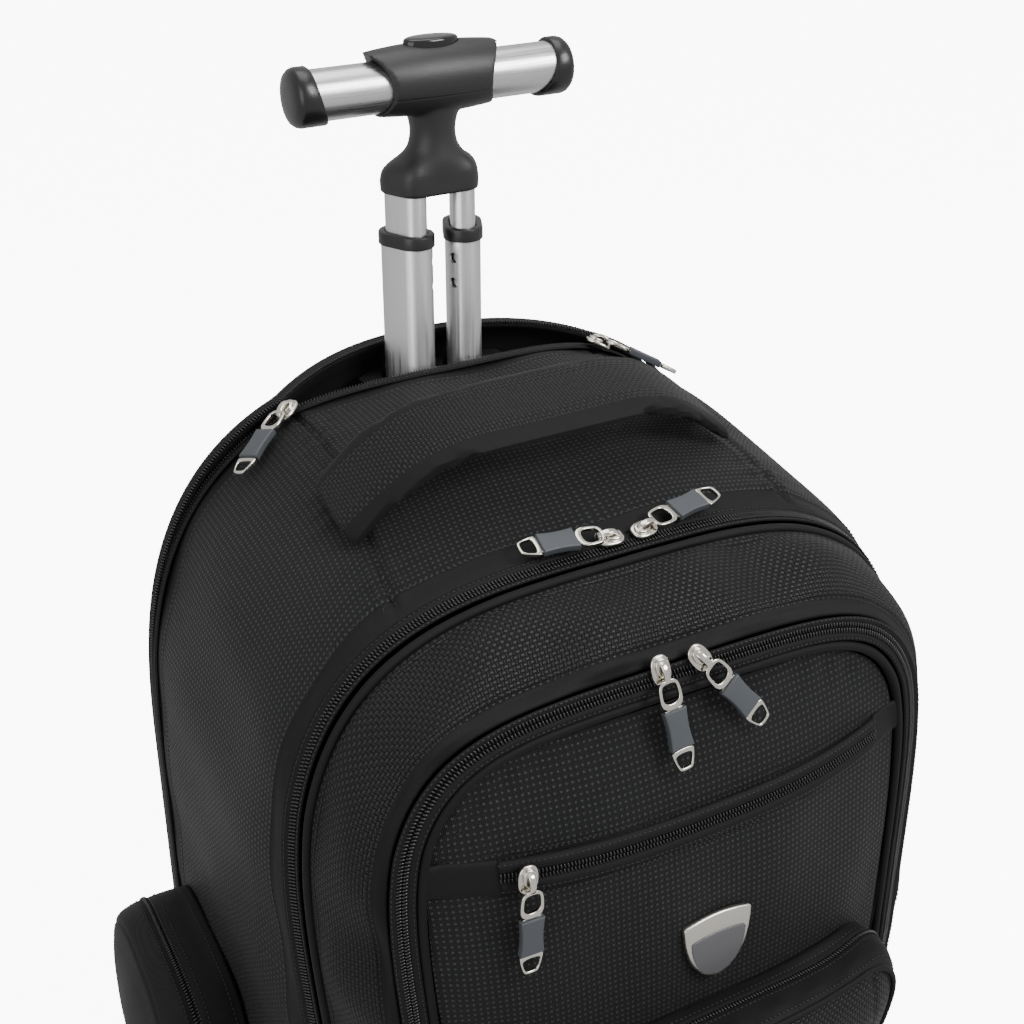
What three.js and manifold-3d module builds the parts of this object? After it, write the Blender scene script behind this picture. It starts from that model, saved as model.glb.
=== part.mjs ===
// A wheeled backpack: a hollow sewn bag with stacked front pockets, a telescopic T-handle that comes up
// through a zipped slit at the back, a hard base tray with two wheels, and padded shoulder straps.
// Millimetres, +Z up, the front of the bag faces -Y, the floor is at Z = 0.

import * as THREE from 'three';
import Module from 'manifold-3d';
import { mergeVertices } from 'three/addons/utils/BufferGeometryUtils.js';

const wasm = await Module();
wasm.setup();

// Clearances and walls
const gap = 0.3;
const faceGap = 0.9;
const domeGap = 1.5;
const clothWall = 2.5;
const zipThickness = 2;
const pipingRadius = 2.5;

// Main body, seen from the front
const bodyHalf = 178;
const bodyTop = 441;
const frontLean = 0.105;
const leanFoot = 180;
const springShare = 0.555;
const floorCorner = 38;

// Main body, from the back to the front
const rearRimY = 92;
const mainDepth = 168;
const backEdgeDepth = 12;
const backBow = 23;
const backBowHalf = 110;
const dividerSetback = 13.5;
const rearRise = 7;
const rearFold = 5;
const foldShare = 0.3;
const fullFold = 6;
const sideLean = -0.02;
const frontTaper = 0.17;
const taperTop = 330;
const taperBackY = -60;
const taperFrontY = -150;

// Front compartments
const zipBandDepth = 10;
const gussetDepth = 47;
const pocketHalf = 135.5;
const pocketTop = 366;
const pocketShoulder = 5;
const pocketFloor = 104;
const pocketCrown = 20;
const pocketLean = 0.07;
const lowerPocketHalf = 121;
const lowerPocketTop = 210;
const lowerPocketFloor = 112;
const lowerPocketDepth = 28;
const lowerPocketCrown = 6;
const lowerPocketCorner = 26;
const weltHeight = 311;
const weltX = 6;
const weltHalf = 105;
const weltWidth = 15;
const weltSag = 4;

// Side pockets
const sidePocketY = 22;
const sidePocketHalf = 62;
const sidePocketTop = 186;
const sidePocketFloor = 86;
const sidePocketDepth = 40;
const sidePocketCrown = 8;

// Rear zip slit for the trolley
const slitHalf = 93.9;
const slitFront = 12;
const slitRear = 24;
const slitDepth = 45;
const rearZipWidth = 6;
const rearZipFoot = 130;

// Base tray, feet and wheels
const wheelRadius = 36;
const wheelWidth = 22;
const wheelX = 151;
const wheelY = 86;
const hubRadius = 26;
const axleRadius = 4;
const runClearance = 0.25;
const wheelClearance = 3;
const cheek = 6;
const wheelSides = 16;
const trayHalf = 171;
const trayFloor = 48;
const trayTop = 82;
const trayFront = -96;
const trayRear = 110;
const footWidth = 44;
const footLength = 26;
const footX = 118;
const trayWall = 4;
const trayCorner = 30;
const earShare = 3.5;
const footFrontLean = 6;
const footBackLean = 5.6;
const footBack = 8;
const footSetback = 4;

// Telescopic trolley
const trolleyY = 98.3;
const tubeOffset = 16.15;
const tubeTurn = 25;
const sleeveLong = 34;
const sleeveShort = 23.4;
const sleeveWall = 2;
const sleeveTop = 438;
const midLong = 28.8;
const midShort = 18.15;
const midWall = 1.5;
const midLength = 327;
const midTop = 504.7;
const innerLong = 23.7;
const innerShort = 12.8;
const innerWall = 1.2;
const innerLength = 330;
const lockHoleRadius = 2.75;
const lockHolePitch = 13.4;
const lockHoleDrop = 8.6;
const collarHeight = 6.5;
const collarProud = 1.2;
const guideHeight = 12;
const guideHalf = 42;
const guideDrop = 6;
const guideCorner = 12;
const trolleyFootHeight = 20;

// T-grip
const skirtStand = 26.3;
const skirtBottom = midTop + skirtStand;
const skirtHeight = 8;
const socketDepth = 9;
const skirtHalf = 26.2;
const skirtWall = 1.8;
const skirtDepth = 14.5;
const gripRise = 54.5;
const barHeight = skirtBottom + gripRise;
const barRadius = 12.5;
const barWall = 1.6;
const barSides = 16;
const barHalf = 67.5;
const barrelRise = 1.9;
const barrelHalf = 35.5;
const barrelRadius = 17.6;
const crescentRadius = 20;
const crescentDepth = 9;
const capRadius = 14.4;
const capLength = 10.5;
const capLap = 1.5;
const buttonHalf = 14.5;
const buttonHalfWidth = 7.5;
const buttonHeight = 5;
const buttonProud = 2.4;

// Carry handle
const carryY = -11;
const carryX = -7;
const carryReach = 102;
const carryLift = 23;
const carryForward = 11;
const carryWidth = 53;
const carryThickness = 8;

// Back panel and shoulder straps
const padThickness = 12;
const padEdge = 3;
const padHalf = 150;
const padTop = 424;
const padFloor = 112;
const strapWidth = 58;
const strapThickness = 11;
const strapTopX = 48;
const strapSpread = 44;
const strapTop = 408;
const strapFoot = 196;
const strapBulge = 22;
const strapSeat = 3.3;
const webbingWidth = 25;
const webbingThickness = 2;
const webbingFoot = 122;

// Zip pulls and badge
const pullLength = 46;
const pullWidth = 11.5;
const pullThickness = 2;
const sliderHeight = 5;
const gripPadLength = 19;
const gripPadThickness = 2.4;
const pullRim = 2;
const badgeX = 7;
const badgeZ = 242;
const badgeHalf = 19;
const badgeHeight = 36;
const badgeThickness = 3;
const insetScale = 0.8;
const insetThickness = 0.8;

// Colours from the photograph, with how rough and how metallic each finish is
const finishes = {
  dobby: { color: 0x24262a, roughness: 0.75, metalness: 0 },
  ballistic: { color: 0x222225, roughness: 0.8, metalness: 0 },
  tape: { color: 0x161719, roughness: 0.85, metalness: 0 },
  padding: { color: 0x1d1e21, roughness: 0.85, metalness: 0 },
  nickel: { color: 0xcfc8bb, roughness: 0.25, metalness: 1 },
  gripRubber: { color: 0x3d454e, roughness: 0.6, metalness: 0 },
  aluminium: { color: 0xb9bbbe, roughness: 0.35, metalness: 1 },
  blackPlastic: { color: 0x1b1b1c, roughness: 0.4, metalness: 0 },
  tyreRubber: { color: 0x1a1a1b, roughness: 0.7, metalness: 0 },
  steel: { color: 0x9a9a98, roughness: 0.3, metalness: 1 },
};

const bag = new THREE.Group();

// The filled bag leans a little to one side towards its front, and its front narrows towards the floor
function leanedX(x, y, z) {
  const low = clamp((taperTop - z) / taperTop, 0, 1);
  const fore = clamp((taperBackY - y) / (taperBackY - taperFrontY), 0, 1);
  return x * (1 - frontTaper * low * fore) + sideLean * Math.max(0, rearRimY - y);
}

function placeSoft(name, geometry, finish) {
  const position = geometry.getAttribute('position');
  for (let i = 0; i < position.count; i += 1) {
    position.setX(i, leanedX(position.getX(i), position.getY(i), position.getZ(i)));
  }
  return place(name, geometry, finish);
}

function place(name, geometry, finish, parent = bag) {
  const mesh = new THREE.Mesh(geometry, new THREE.MeshStandardMaterial(finishes[finish]));
  mesh.name = name;
  parent.add(mesh);
  return mesh;
}

// Small numeric helpers
const mix = (a, b, t) => a + (b - a) * t;
const clamp = (value, low, high) => Math.min(high, Math.max(low, value));
const signedPower = (value, power) => Math.sign(value) * Math.abs(value) ** power;

// A closed body from rings of equal length. Its ends are closed by fans, or it closes on itself.
function ringBody(rings, closed = false) {
  const count = rings[0].length;
  const positions = rings.flat(2);
  const index = [];
  const spans = closed ? rings.length : rings.length - 1;
  for (let r = 0; r < spans; r += 1) {
    const next = (r + 1) % rings.length;
    for (let i = 0; i < count; i += 1) {
      const j = (i + 1) % count;
      const [a, b] = [r * count + i, r * count + j];
      const [c, d] = [next * count + i, next * count + j];
      index.push(a, b, d, a, d, c);
    }
  }
  if (!closed) {
    for (const [r, turn] of [[0, 1], [rings.length - 1, 0]]) {
      const centre = positions.length / 3;
      for (let axis = 0; axis < 3; axis += 1) {
        positions.push(rings[r].reduce((sum, point) => sum + point[axis], 0) / count);
      }
      for (let i = 0; i < count; i += 1) {
        const j = (i + 1) % count;
        const [a, b] = turn ? [r * count + j, r * count + i] : [r * count + i, r * count + j];
        index.push(a, b, centre);
      }
    }
  }
  const geometry = new THREE.BufferGeometry();
  geometry.setAttribute('position', new THREE.Float32BufferAttribute(positions, 3));
  geometry.setIndex(index);
  return facingOut(geometry);
}

// Turns every face round where the body is inside out
function facingOut(geometry) {
  if (signedVolume(geometry) < 0) {
    geometry.setIndex(Array.from(geometry.getIndex().array).reverse());
  }
  return geometry;
}

function signedVolume(geometry) {
  const position = geometry.getAttribute('position');
  const index = geometry.getIndex();
  const [a, b, c] = [new THREE.Vector3(), new THREE.Vector3(), new THREE.Vector3()];
  let volume = 0;
  for (let i = 0; i < index.count; i += 3) {
    a.fromBufferAttribute(position, index.getX(i));
    b.fromBufferAttribute(position, index.getX(i + 1));
    c.fromBufferAttribute(position, index.getX(i + 2));
    volume += a.dot(b.cross(c)) / 6;
  }
  return volume;
}

// Boolean joins and cuts
function solid(geometry) {
  const plain = geometry.clone();
  plain.deleteAttribute('normal');
  plain.deleteAttribute('uv');
  const merged = mergeVertices(plain, 1e-4);
  return new wasm.Manifold(new wasm.Mesh({
    numProp: 3,
    vertProperties: new Float32Array(merged.getAttribute('position').array),
    triVerts: new Uint32Array(merged.getIndex().array),
  }));
}

function geometryOf(manifold) {
  const mesh = manifold.getMesh();
  const geometry = new THREE.BufferGeometry();
  geometry.setAttribute('position', new THREE.BufferAttribute(new Float32Array(mesh.vertProperties), 3));
  geometry.setIndex(new THREE.BufferAttribute(new Uint32Array(mesh.triVerts), 1));
  return geometry;
}

function cut(geometry, ...tools) {
  return geometryOf(tools.reduce((rest, tool) => rest.subtract(solid(tool)), solid(geometry)));
}

function join(...geometries) {
  return geometryOf(geometries.slice(1).reduce((sum, piece) => sum.add(solid(piece)), solid(geometries[0])));
}

function box(x0, x1, y0, y1, z0, z1) {
  const geometry = new THREE.BoxGeometry(x1 - x0, y1 - y0, z1 - z0);
  return geometry.translate((x0 + x1) / 2, (y0 + y1) / 2, (z0 + z1) / 2);
}

// A flat outline pushed up along Z from one height to another
function prism(shape, bottom, top, curveSegments = 8) {
  const settings = { depth: top - bottom, bevelEnabled: false, curveSegments };
  const geometry = new THREE.ExtrudeGeometry(shape, settings);
  return geometry.translate(0, 0, bottom);
}

// A profile of radius and place turned about the X axis
function turnedAlongX(profile, segments) {
  const points = profile.map(([radius, place]) => new THREE.Vector2(radius, place));
  const geometry = new THREE.LatheGeometry(points, segments).rotateZ(-Math.PI / 2);
  return facingOut(geometry);
}

// The bag's outline seen from the front: a flat floor with round corners, straight sides and a round top
function arch({ half, top, shoulder, floor, corner }, inset = 0) {
  const points = [];
  const cornerSteps = 2;
  const sideSteps = 2;
  const crownSteps = 14;
  const spring = top * springShare;
  const h = half - inset;
  const rise = top - inset - spring;
  const low = floor + inset;
  const r = corner - inset;
  for (let i = 0; i <= cornerSteps; i += 1) {
    const angle = -Math.PI / 2 + (Math.PI / 2) * (i / cornerSteps);
    points.push([h - r + r * Math.cos(angle), low + r + r * Math.sin(angle)]);
  }
  for (let i = 1; i < sideSteps; i += 1) {
    points.push([h, mix(low + r, spring, i / sideSteps)]);
  }
  for (let i = 0; i <= crownSteps; i += 1) {
    const angle = (Math.PI * i) / crownSteps;
    const power = 2 / shoulder;
    const [across, up] = [signedPower(Math.cos(angle), power), signedPower(Math.sin(angle), power)];
    points.push([h * across, spring + rise * up]);
  }
  const otherSide = points.slice(0, cornerSteps + sideSteps).reverse();
  return points.concat(otherSide.map(([x, z]) => [-x, z]));
}

const ring = (outline, depthAt) => outline.map(([x, z]) => [x, depthAt(x, z), z]);

// How far a leaning front stands forward of its top edge at a height
const forward = (slope, top, z) => slope * (top - clamp(z, leanFoot, top));

// Main body stations from the back rim to the main zip. depth is a share of mainDepth behind the zip,
// half and top are shares of bodyHalf and bodyTop, and shoulder is how square the round top is.
const mainStations = [
  { depth: 1.0, half: 0.975, top: 0.997, shoulder: 2.9 },
  { depth: 0.7, half: 0.995, top: 1.0, shoulder: 2.9 },
  { depth: 0.35, half: 1.005, top: 0.984, shoulder: 2.95 },
  { depth: 0.12, half: 1.0, top: 0.956, shoulder: 3.2 },
  { depth: 0.0, half: 0.985, top: 0.935, shoulder: 3.35 },
];
const bodyFloor = trayTop + gap;

function mainStation(depth) {
  const rows = mainStations;
  let i = 1;
  while (i < rows.length - 1 && rows[i].depth > depth) {
    i += 1;
  }
  const t = clamp((depth - rows[i].depth) / (rows[i - 1].depth - rows[i].depth), 0, 1);
  const value = (key) => mix(rows[i][key], rows[i - 1][key], t);
  return {
    half: bodyHalf * value('half'),
    top: bodyTop * value('top'),
    shoulder: value('shoulder'),
    floor: bodyFloor,
    corner: floorCorner,
    y: rearRimY - mainDepth * (1 - depth),
    slope: frontLean * (1 - depth),
  };
}

function mainRing(depth, inset) {
  const station = mainStation(depth);
  return ring(arch(station, inset), (x, z) => station.y - forward(station.slope, station.top, z));
}

// The station that passes through a place on the body's side
function stationAt(y, z) {
  let station = mainStation(clamp((y - rearRimY) / mainDepth + 1, 0, 1));
  for (let step = 0; step < 3; step += 1) {
    const upright = y + forward(station.slope, station.top, z);
    station = mainStation(clamp((upright - rearRimY) / mainDepth + 1, 0, 1));
  }
  return station;
}

// The height of the body's outside at a place in plan
function bodyHeight(x, y) {
  let z = bodyTop;
  for (let pass = 0; pass < 6; pass += 1) {
    const station = stationAt(y, z);
    const spring = station.top * springShare;
    const reach = 1 - clamp(Math.abs(x) / station.half, 0, 1) ** station.shoulder;
    z = spring + (station.top - spring) * reach ** (1 / station.shoulder);
  }
  return z;
}

// The slit in plan: its front and rear edges bow apart around the trolley
const slitShare = (x) => Math.max(0, 1 - (x / slitHalf) ** 2);
const slitFrontY = (x) => rearRimY - slitFront * slitShare(x);
const slitRearY = (x) => rearRimY + slitRear * slitShare(x);

function slitTool() {
  const steps = 12;
  const xs = Array.from({ length: steps + 1 }, (_, i) => mix(-slitHalf, slitHalf, i / steps));
  const front = xs.map((x) => new THREE.Vector2(x, slitFrontY(x)));
  const rear = xs.slice(1, -1).reverse().map((x) => new THREE.Vector2(x, slitRearY(x)));
  return prism(new THREE.Shape(front.concat(rear)), bodyTop - slitDepth, bodyTop + slitDepth);
}

function mainShell() {
  const dividerFront = 1 - (dividerSetback + clothWall) / mainDepth;
  const dividerBack = 1 - dividerSetback / mainDepth;
  const depths = mainStations.map((row) => row.depth).reverse();
  const inside = depths.filter((depth) => depth < dividerFront).concat(dividerFront).reverse();
  const rings = inside.map((depth) => mainRing(depth, clothWall))
    .concat(depths.map((depth) => mainRing(depth, 0)))
    .concat([mainRing(1, clothWall), mainRing(dividerBack, clothWall)]);
  return cut(ringBody(rings), slitTool());
}

// The back of the bag bows out around the trolley
const backEdgeY = rearRimY + backEdgeDepth;
const bow = (x) => Math.max(0, 1 - (x / backBowHalf) ** 2) ** 2;
const backY = (x) => backEdgeY + backBow * bow(x);

function shrunk(outline, size) {
  const middle = (outline[0][1] + Math.max(...outline.map((point) => point[1]))) / 2;
  return outline.map(([x, z]) => [x * size, middle + (z - middle) * size]);
}

// The height of an outline's floor and crown at a place across the bag
function span({ half, top, shoulder, floor, corner }, inset, x) {
  const spring = top * springShare;
  const reach = Math.max(0, 1 - (Math.abs(x) / (half - inset)) ** shoulder);
  const cornerIn = Math.max(0, Math.abs(x) - (half - corner)) / (corner - inset);
  const low = floor + inset + (corner - inset) * (1 - Math.sqrt(Math.max(0, 1 - cornerIn ** 2)));
  return [low, spring + (top - inset - spring) * reach ** (1 / shoulder)];
}

// A closed body built from columns across the bag. Each column runs up its front and down its back,
// and the back's edges are rounded by a radius.
function columnBody(outline, inset, frontAt, backAt, edge) {
  const half = outline.half - inset;
  const shares = [0.2, 0.4, 0.58, 0.76, 0.9, 0.98, 1];
  const columns = [...shares.map((share) => -share).reverse(), 0, ...shares];
  const rows = [0, 0.12, 0.5, 0.88, 1];
  return ringBody(columns.map((share) => {
    const x = share * half;
    const [low, high] = span(outline, inset, x);
    const front = rows.map((row) => [x, frontAt(x, mix(low, high, row)), mix(low, high, row)]);
    const back = rows.map((row) => {
      const z = mix(low + edge, high - edge, row);
      return [x, backAt(x, z), z];
    }).reverse();
    const round = (z, towards) => {
      const y = mix(backAt(x, z), frontAt(x, z), foldShare * Math.min(1, edge / fullFold));
      return [x, y, z + towards * edge * foldShare];
    };
    return [...front, round(high, -1), ...back, round(low, 1)];
  }));
}

const rearOutline = () => ({ ...mainStation(1), top: mainStation(1).top + rearRise });

function rearShell() {
  const rimY = rearRimY + gap;
  const outline = rearOutline();
  const outer = columnBody(outline, 0, () => rimY, backY, rearFold);
  const inner = columnBody(outline, clothWall, () => rimY - clothWall, (x) => backY(x) - clothWall, rearFold);
  return cut(outer, inner, slitTool());
}

// One tape and tooth row of the rear zip, laid on the rim from one side over the top to the other
function rearZipRow(side) {
  const station = side > 0 ? rearOutline() : mainStation(1);
  const rows = arch(station).filter(([, z]) => z > rearZipFoot);
  const edge = (x, z) => {
    if (z < bodyTop - slitDepth) {
      return rearRimY + (side > 0 ? gap : 0);
    }
    return side > 0 ? Math.max(slitRearY(x), rearRimY + gap) : slitFrontY(x);
  };
  const middle = station.top * springShare;
  const rings = rows.map(([x, z]) => {
    const rise = station.top - middle;
    const across = new THREE.Vector2(
      signedPower(x / station.half, station.shoulder - 1) / station.half,
      z > middle ? ((z - middle) / rise) ** (station.shoulder - 1) / rise : 0,
    ).normalize();
    const near = edge(x, z) + side * gap;
    const far = near + side * rearZipWidth;
    const lift = (y) => (z > middle && side < 0 ? Math.max(0, bodyHeight(x, y) - z) : 0);
    const at = (y, height) => [x + across.x * height, y, z + across.y * (height + lift(y))];
    const seat = side > 0 ? faceGap + gap : gap * 1.5;
    return [at(near, seat), at(near, seat + zipThickness), at(far, seat + zipThickness), at(far, seat)];
  });
  return ringBody(rings);
}

// Front compartments. Every outline steps in from the one behind it.
const mainZipY = rearRimY - mainDepth;
const mainPipingY = mainZipY - zipBandDepth - pipingRadius - gap;
const frontOutline = {
  half: bodyHalf * 0.95, top: bodyTop * 0.921, shoulder: 3.5, floor: bodyFloor + 3, corner: floorCorner,
};
const pocketOutline = {
  half: pocketHalf, top: pocketTop, shoulder: pocketShoulder, floor: pocketFloor, corner: floorCorner,
};
const pocketY = mainPipingY - pipingRadius - gussetDepth - gap;
const pocketPlane = (z) => pocketY - forward(pocketLean, pocketTop, z);
const mainPlane = (z, push = 0) => mainPipingY - push - forward(frontLean, frontOutline.top, z);

// An outline part of the way from one to another
function between(a, b, t) {
  return Object.fromEntries(Object.keys(a).map((key) => [key, mix(a[key], b[key], t)]));
}

// A closed band from a back edge to a front edge with the same wall all round
function band(wideOutline, wideAt, narrowOutline, narrowAt, wall) {
  return ringBody([
    ring(arch(wideOutline), wideAt),
    ring(arch(narrowOutline), narrowAt),
    ring(arch(narrowOutline, wall), narrowAt),
    ring(arch(wideOutline, wall), wideAt),
  ], true);
}

function mainZip() {
  const back = mainStation(0);
  const proud = pipingRadius + gap;
  const front = { ...frontOutline, half: frontOutline.half + proud, top: frontOutline.top + proud };
  const backAt = (x, z) => mainZipY - gap - forward(back.slope, back.top, z);
  const frontAt = (x, z) => mainPlane(z) + pipingRadius + gap;
  return band(back, backAt, front, frontAt, zipThickness);
}

// A round cord all the way round an outline
function cordLoop(outline, depthAt, radius) {
  const points = arch(outline);
  const sides = 6;
  const rings = points.map(([x, z], i) => {
    const [px, pz] = points[(i + points.length - 1) % points.length];
    const [nx, nz] = points[(i + 1) % points.length];
    const out = new THREE.Vector2(nz - pz, px - nx).normalize();
    return Array.from({ length: sides }, (_, k) => {
      const angle = (2 * Math.PI * k) / sides;
      const reach = radius * Math.cos(angle);
      return [x + out.x * reach, depthAt(x, z) + radius * Math.sin(angle), z + out.y * reach];
    });
  });
  return ringBody(rings, true);
}

// Second compartment stations from the main piping to the pocket zip, as shares of the way
const gussetStations = [
  { way: 0.0, step: 0.0 },
  { way: 0.3, step: 0.12 },
  { way: 0.7, step: 0.42 },
  { way: 1.0, step: 0.8 },
];
const zipBandWidth = 12;
const pocketZipOutline = {
  ...pocketOutline,
  half: pocketHalf + zipBandWidth + pipingRadius,
  top: pocketTop + zipBandWidth + pipingRadius,
  floor: pocketFloor - zipBandWidth,
  shoulder: 4.4,
};

function gussetRing(row, inset, push = 0) {
  const from = { ...frontOutline, half: frontOutline.half - gap, top: frontOutline.top - gap };
  const outline = between(from, pocketZipOutline, row.step / gussetStations.at(-1).step);
  const start = pipingRadius + gap + push;
  const end = pocketY + pipingRadius + 1;
  return ring(arch(outline, inset), (x, z) => {
    const back = mainPlane(z, start);
    const front = end - forward(pocketLean, pocketTop, z);
    return mix(back, front, row.way);
  });
}

function frontGusset() {
  const outer = gussetStations.map((row) => gussetRing(row, 0));
  const inner = gussetStations.map((row) => gussetRing(row, clothWall, row.way === 0 ? clothWall : 0));
  return ringBody(outer.concat(inner.reverse()));
}

function pocketZip() {
  const inside = pipingRadius + gap * 1.5;
  const [half, top, floor] = [pocketHalf + inside, pocketTop + inside, pocketFloor - inside];
  const front = { ...pocketOutline, half, top, floor };
  const backAt = (x, z) => pocketPlane(z) + pipingRadius + 1 - gap;
  const frontAt = (x, z) => pocketPlane(z) + 0.5;
  const rings = [
    ring(arch(pocketZipOutline), (x, z) => backAt(x, z) - zipThickness),
    ring(arch(front), (x, z) => frontAt(x, z) - zipThickness),
    ring(arch(front), frontAt),
    ring(arch(pocketZipOutline), backAt),
  ];
  return ringBody(rings, true);
}

// The front pocket's outside: its leaning plane and a soft crown
function pocketNorm(x, z) {
  const middle = (pocketTop + pocketFloor) / 2;
  const reach = (pocketTop - pocketFloor) / 2;
  return Math.abs(x / pocketHalf) ** 3 + Math.abs((z - middle) / reach) ** 3;
}
const pocketFace = (x, z) => pocketPlane(z) - pocketCrown * Math.max(0, 1 - pocketNorm(x, z));

const faceSizes = [1, 0.9, 0.7, 0.42, 0.14];

function frontPocket() {
  const outline = arch(pocketOutline, pipingRadius + gap);
  const lining = arch(pocketOutline, pipingRadius + gap + 0.5);
  const outer = faceSizes.map((size) => ring(shrunk(outline, size), pocketFace));
  const inner = faceSizes.map((size) => {
    return ring(shrunk(lining, size), (x, z) => pocketFace(x, z) + clothWall);
  });
  return ringBody(inner.reverse().concat(outer));
}

// A thin strip that follows a face, from one side to the other
function faceStrip(centre, half, middle, width, thickness, face) {
  const steps = 10;
  const rings = Array.from({ length: steps + 1 }, (_, i) => {
    const x = centre + mix(-half, half, i / steps);
    const sag = weltSag * (1 - ((x - centre) / half) ** 2);
    const at = (z, out) => [x, face(x, z - sag) - faceGap - out, z - sag];
    return [
      at(middle - width / 2, 0),
      at(middle + width / 2, 0),
      at(middle + width / 2, thickness),
      at(middle - width / 2, thickness),
    ];
  });
  return ringBody(rings);
}

// A rounded rectangle with the same number of points at every size
function roundedOutline(half, low, high, corner, inset = 0) {
  const cornerSteps = 2;
  const sideSteps = 3;
  const r = corner - inset;
  const x1 = half - corner;
  const [z0, z1] = [low + corner, high - corner];
  const corners = [[x1, z0, -90], [x1, z1, 0], [-x1, z1, 90], [-x1, z0, 180]];
  return corners.flatMap(([x, z, start], k) => {
    const points = Array.from({ length: cornerSteps + 1 }, (_, i) => {
      const angle = THREE.MathUtils.degToRad(start + (90 * i) / cornerSteps);
      return [x + r * Math.cos(angle), z + r * Math.sin(angle)];
    });
    const [nextX, nextZ, nextStart] = corners[(k + 1) % corners.length];
    const angle = THREE.MathUtils.degToRad(nextStart);
    const end = [nextX + r * Math.cos(angle), nextZ + r * Math.sin(angle)];
    const last = points.at(-1);
    for (let i = 1; i < sideSteps; i += 1) {
      points.push([mix(last[0], end[0], i / sideSteps), mix(last[1], end[1], i / sideSteps)]);
    }
    return points;
  });
}

// Pocket rings from the rim to the middle of the face. out is a share of the pocket's depth.
const bulgeRings = [
  { size: 1.0, out: 0.0 },
  { size: 1.0, out: 0.5 },
  { size: 0.985, out: 0.78 },
  { size: 0.93, out: 0.92 },
  { size: 0.7, out: 1.0 },
  { size: 0.3, out: 1.0 },
];

function lowerPocket() {
  const crown = (row) => lowerPocketCrown * (1 - row.size ** 2);
  const [low, high] = [lowerPocketFloor, lowerPocketTop];
  const walls = (inset) => bulgeRings.map((row) => {
    const outline = roundedOutline(lowerPocketHalf, low, high, lowerPocketCorner, inset);
    const depth = lowerPocketDepth - inset;
    const out = row.out * depth + (row.out > 0.6 ? crown(row) : 0);
    return ring(shrunk(outline, row.size), (x, z) => pocketFace(x, z) - domeGap - out);
  });
  return ringBody(walls(clothWall).reverse().concat(walls(0)));
}

const lowerPocketFace = (x, z) => pocketFace(x, z) - domeGap - lowerPocketDepth - lowerPocketCrown * 0.5;

// Side pocket: an egg-shaped cup on the side of the body
function sidePocket(side) {
  const middle = (sidePocketTop + sidePocketFloor) / 2;
  const reach = (sidePocketTop - sidePocketFloor) / 2;
  const steps = 16;
  const walls = (inset) => bulgeRings.map((row) => Array.from({ length: steps }, (_, i) => {
    const angle = (2 * Math.PI * i) / steps;
    const [c, s] = [Math.cos(angle), Math.sin(angle)];
    const y = sidePocketY + signedPower(c, 0.75) * (sidePocketHalf - inset) * row.size;
    const z = middle + signedPower(s, 0.75) * (reach - inset) * row.size;
    const rim = stationAt(y, z).half + faceGap;
    const crown = row.out > 0.6 ? sidePocketCrown * (1 - row.size ** 2) : 0;
    return [side * (rim + row.out * (sidePocketDepth - inset) + crown), y, z];
  }));
  return ringBody(walls(clothWall).reverse().concat(walls(0)));
}

// Base tray: a plate with wheel housings at the back corners and two feet at the front
function baseTray() {
  const plate = trayPlate();
  const housingInner = wheelX - wheelWidth / 2 - wheelClearance - cheek;
  const pieces = [plate];
  const wells = [];
  for (const side of [-1, 1]) {
    const xs = [side * housingInner, side * trayHalf].sort((a, b) => a - b);
    const earRadius = axleRadius * earShare;
    const ear = new THREE.CylinderGeometry(earRadius, earRadius, xs[1] - xs[0], 16).rotateZ(Math.PI / 2);
    pieces.push(ear.translate((xs[0] + xs[1]) / 2, wheelY, wheelRadius));
    pieces.push(box(xs[0], xs[1], wheelY - earRadius, wheelY + earRadius, wheelRadius, trayFloor + 1));
    pieces.push(footBlock(side));
    const wellHalf = wheelWidth / 2 + wheelClearance;
    const wellRadius = wheelRadius + wheelClearance;
    const well = new THREE.CylinderGeometry(wellRadius, wellRadius, wellHalf * 2, 20).rotateZ(Math.PI / 2);
    wells.push(well.translate(side * wheelX, wheelY, wheelRadius));
    const boreRadius = axleRadius + runClearance;
    const boreLength = trayHalf - housingInner + cheek;
    const bore = new THREE.CylinderGeometry(boreRadius, boreRadius, boreLength, 12).rotateZ(Math.PI / 2);
    wells.push(bore.translate((xs[0] + xs[1]) / 2, wheelY, wheelRadius));
  }
  const low = trayFloor - 1;
  const high = trayTop - trayWall;
  const behindFeet = footRootY + trayWall;
  const rear = trayRear - trayWall;
  const betweenFeet = footX - footWidth / 2 - trayWall;
  const betweenWheels = housingInner - trayWall;
  const outer = trayHalf - trayWall;
  const beforeWheels = wheelY - wheelRadius - wheelClearance - trayWall;
  const hollows = [
    box(-betweenFeet, betweenFeet, trayFront + trayWall, rear, low, high),
    box(-betweenWheels, betweenWheels, behindFeet, rear, low, high),
    box(-outer, outer, behindFeet, beforeWheels, low, high),
  ];
  return cut(join(...pieces), ...wells, ...hollows);
}

// The plate's front corners are round, so that they stay under the body
function trayPlate() {
  const shape = new THREE.Shape();
  shape.moveTo(-trayHalf, trayRear);
  shape.lineTo(-trayHalf, trayFront + trayCorner);
  shape.absarc(trayCorner - trayHalf, trayFront + trayCorner, trayCorner, Math.PI, Math.PI * 1.5, false);
  shape.lineTo(trayHalf - trayCorner, trayFront);
  shape.absarc(trayHalf - trayCorner, trayFront + trayCorner, trayCorner, Math.PI * 1.5, Math.PI * 2, false);
  shape.lineTo(trayHalf, trayRear);
  return prism(shape, trayFloor, trayTop, 4);
}

// A foot seen from the side: its front leans forward and its back slopes up to the plate
const footRootY = trayFront + footSetback + footFrontLean + footLength + footBackLean + footBack;

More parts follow.
